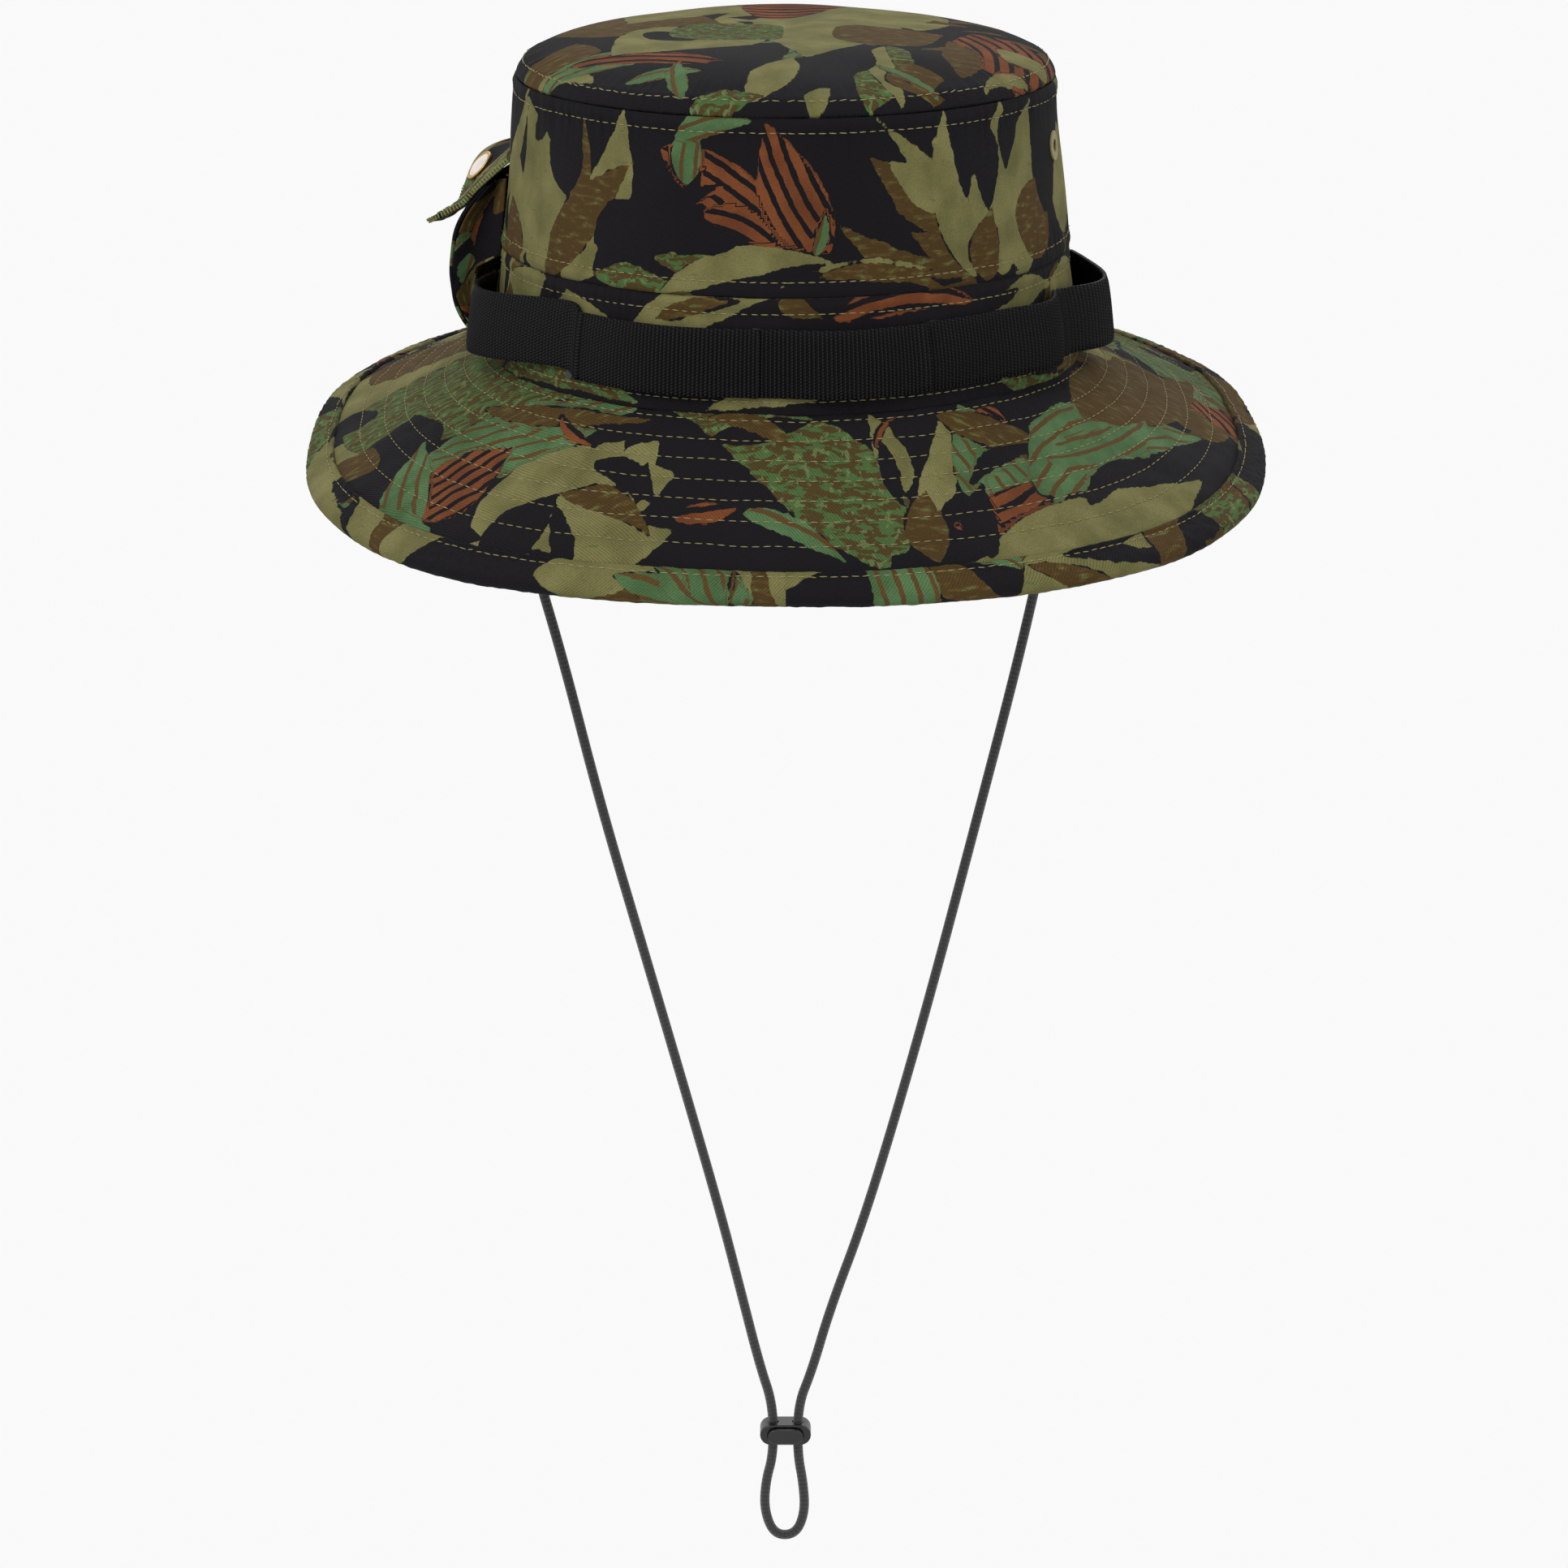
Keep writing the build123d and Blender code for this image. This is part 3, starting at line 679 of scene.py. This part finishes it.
# ---- Brim ---------------------------------------------------------------------------------
# Two plies of twill with a stiff ply between them, quilted together by rows of stitches.
# It slopes down from the join, more so in front than behind.
brim_low, brim_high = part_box("brim_upper")
edge_across = brim_high.x
edge_deep = (brim_high.y - brim_low.y) / 2
edge_y = (brim_high.y + brim_low.y) / 2
edge_drop, edge_lean = 0.0303, 0.0124
brim_rows = (0.0022, 0.0093, 0.0164, 0.0236, 0.0305, 0.0377, 0.0463)
slant = 0.065


def oval_reach(turn, squareness):
    return (abs(sin(turn)) ** squareness + abs(cos(turn)) ** squareness) ** (-1 / squareness)


def brim_frame(turn, out):
    """A point of the brim's surface, out from the join along the slope, and its up direction."""
    inner = crown_point(turn, 0.0)
    r = oval_reach(turn, 2.45)
    x, y = edge_across * r * sin(turn), -edge_deep * r * cos(turn)
    outer = Vector((x, y + edge_y, -edge_drop + edge_lean * y / edge_deep))
    way = outer - inner
    side = Vector((-way.y, way.x, 0)).normalized()
    up = side.cross(way).normalized()
    if up.z < 0:
        up.negate()
    return inner + way * (out / slant), up


def quilt(out):
    """How far the cloth puffs up between two rows of stitches."""
    for row, nearest in zip(brim_rows, brim_rows[1:] + (0.0555,)):
        if row <= out < nearest:
            return 0.0005 * sin(pi * (out - row) / (nearest - row)) ** 0.7
    return 0.0


def brim_point(turn, out, lift=0.0):
    spot, up = brim_frame(turn, out)
    wave = 0.0016 * noise.noise(spot / 0.05) * (out / slant)
    small = 0.0005 * noise.noise(spot / 0.009)
    return spot + up * (quilt(out) + wave + small + lift)


brim_leaves = (
    ("khaki", -147, 17, -111, 46, 55), ("mottle", -133, 5, -59, -77, 54),
    ("brown", -130, 59, -91, 18, 43), ("green", -112, -71, -44, -89, 28),
    ("brown", -91, -57, -39, -96, 7), ("black", -121, -73, -114, -34, 33),
    ("rust", -112, -93, -81, -85, 26), ("green", -112, -107, -109, -58, 15),
    ("green", -136, -76, -96, -124, 9), ("brown", -138, -55, -126, -43, 24),
    ("khaki", -92, -111, -47, -100, 33), ("khaki", -78, -119, -32, -114, 27),
    ("khaki", -69, -133, -31, -131, 14), ("khaki", -99, -117, -63, -141, 10),
    ("khaki", -54, -113, -37, -103, 14), ("brown", -66, -111, -39, -132, 8),
    ("black", -90, -123, -66, -110, 17), ("black", -62, -137, -68, -110, 6),
    ("black", -56, -104, -38, -123, 8), ("black", -43, -121, -40, -107, 5),
    ("black", -39, -139, 13, -132, 12), ("rust", -33, -128, -13, -126, 6),
    ("mottle", 30, -140, -34, -94, 23), ("mottle", 35, -136, 6, -101, 22),
    ("mottle", 20, -126, -15, -100, 11), ("khaki", 35, -119, 24, -97, 10),
    ("khaki", 39, -126, 46, -89, 9), ("black", 28, -106, 34, -123, 5),
    ("rust", 26, -108, 33, -96, 2), ("brown", 44, -138, 41, -116, 12),
    ("black", -22, -106, 10, -101, 7), ("brown", -24, -99, 6, -114, 5),
    ("green", 79, -112, 51, -84, 34), ("rust", 49, -127, 82, -94, 11),
    ("rust", 55, -87, 68, -90, 15), ("brown", 44, -92, 88, -90, 12),
    ("black", 54, -112, 78, -87, 5), ("green", 74, -108, 129, -34, 25),
    ("brown", 89, -63, 130, 31, 28), ("green", 78, -93, 110, -45, 13),
    ("khaki", 59, -133, 126, -64, 20), ("khaki", 50, -141, 117, -90, 12),
    ("black", 59, -134, 58, -110, 10), ("black", 89, -105, 122, -62, 8),
    ("brown", 104, -15, 140, 3, 47), ("rust", 136, 11, 147, -17, 30),
    ("black", 118, -95, 144, -15, 13), ("khaki", -149, -20, -145, 28, 20),
    ("black", -142, -14, -133, 5, 27), ("rust", -67, -80, -56, -98, 3),
    ("green", -13, -127, 20, -142, 5), ("khaki", 88, -120, 120, -99, 10),
)
brim_leaves = (
    *scatter(41, (-150, -20), (-95, 60), 7),
    *scatter(42, (95, -20), (150, 60), 7),
    *scatter(43, (-150, 60), (150, 175), 26),
    *brim_leaves,
)
under_leaves = scatter(44, (-150, -165), (150, 165), 60)
brim_cloth = leaf_print("brim_twill", "twill")
stiffener = Finish("stiffener", 0.9)
stiffener.speckle(1200.0, dye(128, 128, 118), dye(160, 160, 150))


def brim_sheet(name, lift, thickness, finish, leaves):
    def place(u, v):
        return brim_point(2 * pi * u, -0.001 + (slant + 0.001) * v, lift)

    def flat(u, v):
        at = place(u, v)
        return (at.x, at.y)

    bm = shaped_grid(760, 64, place, flat)
    if leaves:
        print_leaves(bm, leaves)
    piece = thicken(mesh_piece(name, bm, finish), thickness)
    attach(piece, "hat")
    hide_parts(name)


brim_sheet("brim_upper", 0.0, 0.0008, brim_cloth, brim_leaves)
brim_sheet("brim_interlining", -0.0009, 0.001, stiffener, ())
brim_sheet("brim_lower", -0.002, 0.0008, brim_cloth, under_leaves)


# ---- Brim binding -------------------------------------------------------------------------
# A strip of the same twill, cut on the bias and folded over the brim's edge.
bind_in = 0.0096
bind_profile = (
    (-bind_in, 0.0002),
    (-bind_in + 0.0001, 0.0010),
    (-bind_in + 0.0007, 0.0014),
    (-bind_in + 0.0014, 0.0010),
    (-0.0065, 0.0011),
    (-0.004, 0.0012),
    (-0.0018, 0.0011),
    (-0.0002, 0.0007),
    (0.0007, -0.0004),
    (0.0009, -0.0014),
    (0.0006, -0.0026),
    (-0.0006, -0.0036),
    (-0.003, -0.0038),
    (-bind_in + 0.0002, -0.0037),
    (-bind_in, -0.0029),
)


def bind_place(u, v):
    turn = 2 * pi * u
    at = v * (len(bind_profile) - 1)
    k = min(int(at), len(bind_profile) - 2)
    (a, b), (c, d) = bind_profile[k : k + 2]
    out, lift = a + (c - a) * (at - k), b + (d - b) * (at - k)
    spot, up = brim_frame(turn, slant + out)
    wave = 0.0016 * noise.noise(spot / 0.05)
    creases = 0.0004 * noise.noise(Vector((400 * u + 90 * out, 6 * out / 0.01, 0)))
    return spot + up * (lift + wave + creases)


def bind_flat(u, v):
    return (0.9 * u, 0.5 + 0.022 * v)


bind_mesh = shaped_grid(900, 28, bind_place, bind_flat)
print_leaves(bind_mesh, scatter(51, (-10, 480), (910, 540), 70))
binding = mesh_piece("brim_binding", bind_mesh, brim_cloth)
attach(binding, "hat")
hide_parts("brim_binding")


# ---- Foliage webbing ----------------------------------------------------------------------
# Black ribbed nylon webbing round the crown. It is tacked down in ten places and bows out
# between them, most of all in one loop on each side.
web_low, web_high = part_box("foliage_band")[0].z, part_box("foliage_band")[1].z
# angle of each tack from the front, how far the webbing then bows out, where along its way
# that peaks (2 is late), and how far it climbs before the next tack
web_loops = (
    (-86.0, 0.0088, 0.6, 0.0034),
    (-42.0, 0.002, 1.0, 0.0),
    (-5.0, 0.0028, 1.0, -0.0004),
    (27.0, 0.0052, 2.2, 0.0012),
    (67.0, 0.0098, 0.8, 0.004),
    (100.0, 0.006, 1.0, 0.0),
    (137.0, 0.003, 1.0, 0.0),
    (174.0, 0.003, 1.0, 0.0),
    (211.0, 0.003, 1.0, 0.0),
    (246.0, 0.0012, 1.0, 0.0),
    (274.0, 0.0, 1.0, 0.0),
)
rib_pitch = 0.00135
web_length = 0.62


def web_off(turn):
    """How far the webbing's face is off the wall, and how far it has climbed there."""
    angle = (turn * 180 / pi + 86) % 360 - 86
    for (start, stand, late, climb), (end, _, _, _) in zip(web_loops, web_loops[1:]):
        if start <= angle < end:
            share = (angle - start) / (end - start)
            fold = 0.0012 * exp(-(((1 - share) * (end - start) / 1.6) ** 2))
            crest = stand * sin(pi * share**late) ** 2
            return crest + 0.0018 + fold, climb * share**1.5 * (1 - share**24)
    return 0.0018, 0.0


def web_place(u, v):
    turn = 2 * pi * u - pi / 2
    off, climb = web_off(turn)
    z = web_low + (web_high - web_low) * v
    droop = 0.12 * max(off - 0.0045, 0)
    rib = 0.00036 * sin(2 * pi * u * web_length / rib_pitch) * (1 if 0.03 < v < 0.97 else 0.3)
    cup = 0.0005 * (2 * v - 1) ** 2
    sway = 0.0005 * noise.noise(Vector((30 * u, 1.5 * v, 4)))
    return crown_point(turn, z, off + rib - cup + sway) + Vector((0, 0, climb - droop))


webbing = Finish("webbing", 0.62, 0.12)
web_x, web_y = webbing.split(webbing.uv("bolt"))
ridge = webbing.maths("SINE", web_x * (2 * pi / rib_pitch)) * 0.5 + 0.5
picks = webbing.maths("SINE", web_y * 6600 + webbing.maths("FLOOR", web_x / rib_pitch) * 2.4)
lint = webbing.grain(webbing.uv("bolt"), 900.0, 3.0)
# The rib crests are painted lighter than the grooves, a painted highlight on the black nylon. The
# weft picks break it up, and the lint adds random tone.
rib_sheen_and_lint = ridge * (picks * 0.35 + 0.5) + lint * 0.2 - 0.1
tone = webbing.mix(rib_sheen_and_lint, dye(1, 1, 2), dye(40, 39, 41))
webbing.feed("Base Color", tone)
webbing.bump(ridge * 0.6 + picks * 0.35, 0.7, 0.0003)
band = mesh_piece(
    "foliage_band",
    shaped_grid(1840, 10, web_place, lambda u, v: (u * web_length, 0.02 * v)),
    webbing,
)
thicken(band, 0.0012)
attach(band, "hat")
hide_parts("foliage_band")


# ---- Crown stitching ----------------------------------------------------------------------
# Two rows of khaki topstitches on either side of each crown seam, one row just above the
# brim join. The same thread binds the vents' rings.
thread = Finish("khaki_thread", 0.8)
thread_grain = thread.speckle(1800.0, dye(96, 90, 58), dye(150, 140, 98))
thread.bump(thread_grain, 0.4, 0.0002)

stitch_form = bpy.data.meshes.new("stitch_form")
form = bmesh.new()
bmesh.ops.create_uvsphere(form, u_segments=6, v_segments=4, radius=1)
form.to_mesh(stitch_form)
form.free()


def sew(bm, path, pitch=0.0031, length=0.0026, width=0.00034, across=False):
    """Stitches along, or across, a path of points with their outward directions."""
    gone, target = 0.0, pitch / 2
    for (here, up), (there, _) in zip(path, path[1:]):
        step = (there - here).length
        while target < gone + step:
            spot = here.lerp(there, (target - gone) / step)
            along = (there - here).normalized()
            tilt = 0.09 * noise.noise(spot * 900)
            side = up.cross(along).normalized()
            along = (along + side * tilt).normalized()
            side = up.cross(along).normalized()
            if across:
                along, side = side, along
            lie = Matrix((along * length / 2, side * width / 2, up * width / 2)).transposed()
            laid = Matrix.Translation(spot) @ lie.to_4x4()
            stitch_form.transform(laid)
            bm.from_mesh(stitch_form)
            stitch_form.transform(laid.inverted())
            target += pitch
        gone += step


def around(point, steps=900):
    """Points of a row round the hat, each with the direction out of the cloth."""
    return [point(2 * pi * k / steps) for k in range(steps + 1)]


def on_crown(surface, z):
    def point(turn):
        up = (crown_point(turn, z, 0.01) - crown_point(turn, z)).normalized()
        return surface(turn, z) + up * 0.0001, up

    return point


def on_tip(size):
    def point(turn):
        here = tip_point(turn, size)
        inward = tip_point(turn, size - 0.02) - here
        side = tip_point(turn + 0.01, size) - here
        up = side.cross(inward).normalized()
        if up.z < 0:
            up.negate()
        return here + up * 0.0001, up

    return point


rows = bmesh.new()
sew(rows, around(on_crown(wall_point, tip_z - top_row)))
sew(rows, around(on_tip(0.972)))
sew(rows, around(on_crown(wall_point, seam_z + seam_row)))
sew(rows, around(on_crown(band_point, seam_z - seam_row)))
sew(rows, around(on_crown(band_point, 0.004)))
crown_stitches = mesh_piece("crown_stitching", rows, thread)
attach(crown_stitches, "hat")

coat(thread, "vent_eyelets")


# ---- Brim stitching -----------------------------------------------------------------------
# Seven rows of khaki lockstitch that run round the brim, on both faces, and one that holds
# the binding.
def on_brim(out, lift):
    def point(turn):
        _, up = brim_frame(turn, out)
        return brim_point(turn, out, lift), up

    return point


for name, lift in (("brim_stitching", 0.0002), ("brim_stitching_below", -0.0029)):
    rows = bmesh.new()
    for out in brim_rows:
        sew(rows, around(on_brim(out, lift), 700), 0.0033)
    brim_stitches = mesh_piece(name, rows, thread)
    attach(brim_stitches, "hat")

rows = bmesh.new()


def on_binding(turn):
    _, up = brim_frame(turn, slant - bind_in + 0.0022)
    return bind_place(turn / (2 * pi), 3.4 / 14) + up * 0.0001, up


sew(rows, around(on_binding), 0.0031)
binding_stitches = mesh_piece("binding_stitching", rows, thread)
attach(binding_stitches, "hat")


# ---- Inside of the hat --------------------------------------------------------------------
# A cotton sweatband, tapes over the side seams and a blank label at the back. The cord's
# tabs and the tacks through the webbing are black nylon.
lining = Finish("sweatband_twill", 0.85)
lining_grain = lining.speckle(1500.0, dye(78, 76, 50), dye(104, 100, 70))
lining.bump(lining_grain, 0.3, 0.0002)
coat(lining, "sweatband", "seam_tape_left", "seam_tape_right")

label = Finish("blank_label", 0.8)
label.speckle(2200.0, dye(200, 198, 188), dye(226, 224, 215))
coat(label, "size_label")

tab_nylon = Finish("tab_nylon", 0.6)
tab_nylon.speckle(1500.0, dye(22, 22, 24), dye(52, 50, 52))
coat(tab_nylon, "cord_tab_left", "cord_tab_right", "web_tacks")


# ---- Pocket bag ---------------------------------------------------------------------------
# A bellows bag of the printed cotton behind the flap: a soft front panel that bulges, and a
# gusset folded inwards along its ends.
hinge = next(j for j in frame["joints"] if j["name"] == "pocket_flap_lift")
hinge_at = Vector(hinge["pos_m"])
forward = -Vector(hinge["axis"]).normalized()
outward = Vector((forward.y, -forward.x, 0))
flap_lean = radians(48)
bag_half = 0.029
wall_slope = 0.0865
wall_curve = 0.212


def pocket_spot(t, out, z):
    """A point t towards the front from the pocket's middle and out from the hinge."""
    return Vector((hinge_at.x, hinge_at.y, z)) + outward * out + forward * t


def wall_behind(t, z):
    """How far out from the hinge the crown's wall is."""
    return -0.002 - (z - hinge_at.z) * wall_slope - t * t / wall_curve


def under_flap(along, depth):
    """Out and height of a point down the flap and under its face."""
    out = along * cos(flap_lean) - depth * sin(flap_lean)
    return out, hinge_at.z - along * sin(flap_lean) - depth * cos(flap_lean)


def smooth_line(points):
    """A smooth line of (out, height) through a section's control points."""
    route = centreline([(out, 0, z) for out, z in points])
    return [(p.x, p.z) for p in route]


def on_line(line, share):
    at = min(max(share, 0), 1) * (len(line) - 1)
    k = min(int(at), len(line) - 2)
    (a, b), (c, d) = line[k], line[k + 1]
    return a + (c - a) * (at - k), b + (d - b) * (at - k)


panel_line = smooth_line(
    (
        under_flap(0.0084, 0.004),
        under_flap(0.021, 0.004),
        (0.0152, 0.0275),
        (0.0135, 0.0135),
        (0.008, 0.0065),
    )
)


def panel_spot(t, share):
    out, z = on_line(panel_line, share)
    soft = noise.noise(Vector((t / 0.016, share * 3.2, 3))) * 0.0014 * sin(pi * share) ** 0.5
    round_end = 0.0016 * (abs(t) / bag_half) ** 6
    return pocket_spot(t, out + soft - round_end, z)


pocket_leaves = (
    *scatter(61, (-60, -10), (60, 70), 16),
    ("black", 26, 4, 24, 30, 16),
    ("green", 30, 20, 14, 38, 10),
    ("rust", 28, 34, 12, 44, 8),
    ("green", 29, 46, 16, 58, 10),
)
panel_mesh = shaped_grid(
    64,
    60,
    lambda u, v: panel_spot((2 * u - 1) * bag_half, v),
    lambda u, v: ((2 * u - 1) * bag_half, 0.056 * v),
)
print_leaves(panel_mesh, pocket_leaves)
panel = thicken(mesh_piece("pocket_panel", panel_mesh, crown_cloth), -0.001)
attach(panel, "hat")
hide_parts("pocket_panel")

back_line = ((0.0545, 0.0), (0.043, 0.0), (0.031, 0.0), (0.027, 0.0052), (0.0095, 0.0077))


def back_spot(t, share):
    at = share * (len(back_line) - 1)
    k = min(int(at), len(back_line) - 2)
    ends = []
    for z, out in back_line[k : k + 2]:
        ends.append((out or wall_behind(t, z) + 0.0006, z))
    (a, b), (c, d) = ends
    return a + (c - a) * (at - k), b + (d - b) * (at - k)


def gusset_spot(side, share, v):
    """A gusset end: v runs from the panel back to the wall, with one fold pushed in."""
    fold = 0.0055 * sin(pi * v) ** 1.4 * (1 - 0.5 * share)
    fold += 0.0006 * noise.noise(Vector((share * 9, v * 2, side)))
    t = side * (bag_half - 0.0003 - fold)
    out, z = on_line(panel_line, share)
    out -= 0.0018
    back_out, back_z = back_spot(t, share)
    return pocket_spot(t, out + (back_out - out) * v, z + (back_z - z) * v)


gusset_mesh = bmesh.new()
gusset_leaves = (
    *scatter(62, (-10, -10), (130, 40), 18),
    ("black", 6, 9, 40, 9, 7),
    ("rust", 12, 6, 24, 5, 3),
    ("green", 26, 4, 40, 3, 5),
    ("brown", 34, 12, 50, 8, 6),
)
for side, shift in ((1, 0.0), (-1, 0.07)):
    end_mesh = shaped_grid(
        60,
        24,
        lambda u, v: gusset_spot(side, u, v),
        lambda u, v: (0.056 * u + shift, 0.014 * v),
    )
    holder = bpy.data.meshes.new("gusset_end")
    end_mesh.to_mesh(holder)
    gusset_mesh.from_mesh(holder)
    end_mesh.free()
back_mesh = shaped_grid(
    40,
    24,
    lambda u, v: pocket_spot(
        (2 * u - 1) * (bag_half - 0.0006), *back_spot((2 * u - 1) * bag_half, 0.5 + 0.5 * v)
    ),
    lambda u, v: (0.056 * u, 0.03 + 0.028 * v),
)
holder = bpy.data.meshes.new("gusset_back")
back_mesh.to_mesh(holder)
gusset_mesh.from_mesh(holder)
back_mesh.free()
print_leaves(gusset_mesh, gusset_leaves)
gusset = thicken(mesh_piece("pocket_gusset", gusset_mesh, crown_cloth), 0.0007)
gusset.modifiers[0].offset = 0
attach(gusset, "hat")
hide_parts("pocket_gusset")


# ---- Pocket flap --------------------------------------------------------------------------
# The flap: two plies of the cotton, sewn to the crown along its upper edge and overlocked
# round the other three. A snap with a pearl face holds it shut.
flap_half, flap_long = 0.030, 0.0285


def flap_spot(t, along, depth):
    out, z = under_flap(along, depth)
    ease = max(0.0, 1 - along / 0.012) ** 1.5
    out -= ease * (0.0011 + t * t / wall_curve)
    curl = 0.0022 * max(0, along / flap_long - 0.6) * max(0, t / flap_half - 0.4) / 0.24
    ruck = 0.0006 * noise.noise(Vector((t / 0.009, along / 0.02, 7))) * min(along / 0.004, 1)
    puff = 0.0062 * exp(-(((t + 0.012) / 0.013) ** 2)) * sin(pi * min(along / flap_long, 1)) ** 0.8
    sag = 0.0021 * max(0, t / flap_half) ** 1.5 * sin(pi * min(along / flap_long, 1))
    lift = curl + puff - sag + ruck * (1 - exp(-((t / 0.008) ** 2)))
    return pocket_spot(t, out + lift * sin(flap_lean), z + lift * cos(flap_lean))


flap_leaves = (
    *scatter(63, (-40, -10), (-5, 40), 5),
    ("khaki", 34, 34, 4, -6, 34),
    ("brown", 30, 26, 12, 0, 12),
    ("black", 2, -4, -8, 22, 13),
    ("khaki", -6, 26, -24, 0, 12),
    ("green", 22, 30, 30, 16, 5),
)
for name, depth in (("flap_outer", 0.0), ("flap_lining", 0.0008)):
    flap_mesh = shaped_grid(
        72,
        40,
        lambda u, v: flap_spot((2 * u - 1) * flap_half, flap_long * v, depth),
        lambda u, v: ((2 * u - 1) * flap_half, flap_long * v),
    )
    print_leaves(flap_mesh, flap_leaves)
    ply = thicken(mesh_piece(name, flap_mesh, crown_cloth), 0.0008)
    pocket_spot(0, *under_flap(0.007, 0))
    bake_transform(ply)
    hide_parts(name)

overlock = Finish("green_thread", 0.8)
overlock.speckle(1300.0, dye(44, 82, 46), dye(150, 152, 104))
rim = []
corner = 0.003
for k in range(41):
    rim.append((flap_half, (flap_long - corner) * k / 40, Vector((1, 0))))
for k in range(1, 80):
    rim.append((flap_half * (1 - 2 * k / 80), flap_long, Vector((0, 1))))
for k in range(40, -1, -1):
    rim.append((-flap_half, (flap_long - corner) * k / 40, Vector((-1, 0))))
edge_rows = bmesh.new()
down = (outward * cos(flap_lean) - Vector((0, 0, sin(flap_lean)))).normalized()
path = []
for t, along, way in rim:
    path.append((flap_spot(t, along, 0.0008), forward * way.x + down * way.y))
sew(edge_rows, path, 0.0011, 0.0021, 0.0005, across=True)
path = []
for t, along, way in rim:
    inner = flap_spot(t - way.x * 0.0045, along - way.y * 0.0045 if along > 0.0045 else along, 0)
    up = (outward * sin(flap_lean) + Vector((0, 0, cos(flap_lean)))).normalized()
    path.append((inner + up * 0.0002, up))
sew(edge_rows, path, 0.003, 0.0023, 0.0004)
edge_piece = mesh_piece("flap_stitching", edge_rows, overlock)
pocket_spot(0, *under_flap(0.007, 0))
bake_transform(edge_piece)

pearl = Finish("pearl_enamel", 0.25, coat_weight=0.6)
pearl.speckle(260.0, dye(176, 164, 158), dye(226, 216, 208))
brass = Finish("satin_brass", 0.35, metallic=1.0)
brass.speckle(900.0, dye(168, 136, 84), dye(206, 172, 110))
coat(brass, "snap_stud", "snap_post")

snap_along = 0.013
snap_top = flap_spot(0, snap_along, 0)
flap_up = (flap_spot(0.003, snap_along, 0) - flap_spot(-0.003, snap_along, 0)).cross(
    flap_spot(0, snap_along - 0.003, 0) - flap_spot(0, snap_along + 0.003, 0)
)
flap_up = flap_up.normalized() if flap_up.z > 0 else -flap_up.normalized()
flap_side = forward.cross(flap_up).normalized()
flap_fore = flap_up.cross(flap_side)


def turned(profile):
    """A shape turned about the snap's axis, from its (radius, height) profile."""

    def place(u, v):
        radius, height = on_line(profile, v)
        ray = flap_fore * cos(2 * pi * u) + flap_side * sin(2 * pi * u)
        return snap_top + ray * radius + flap_up * height

    return shaped_grid(48, 32, place, lambda u, v: (u, v))


cap_face = ((0.0, 0.0016), (0.0016, 0.00155), (0.0032, 0.0013), (0.0043, 0.0009), (0.0046, 0.0004))
cap = mesh_piece("snap_cap", turned(cap_face), pearl)
cap_rim = ((0.0044, 0.0009), (0.0049, 0.0011), (0.0053, 0.0008), (0.0052, 0.0), (0.0044, -0.0004))
rim_ring = mesh_piece("snap_rim", turned(cap_rim), brass)
socket_form = (
    (0.0022, -0.0014),
    (0.0022, -0.0029),
    (0.0028, -0.0031),
    (0.0044, -0.0027),
    (0.0045, -0.0014),
)
socket = mesh_piece("snap_socket", turned(socket_form), brass)
for snap_piece in (cap, rim_ring, socket):
    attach(snap_piece, "pocket_flap")
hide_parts("snap_cap")
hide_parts("snap_socket")
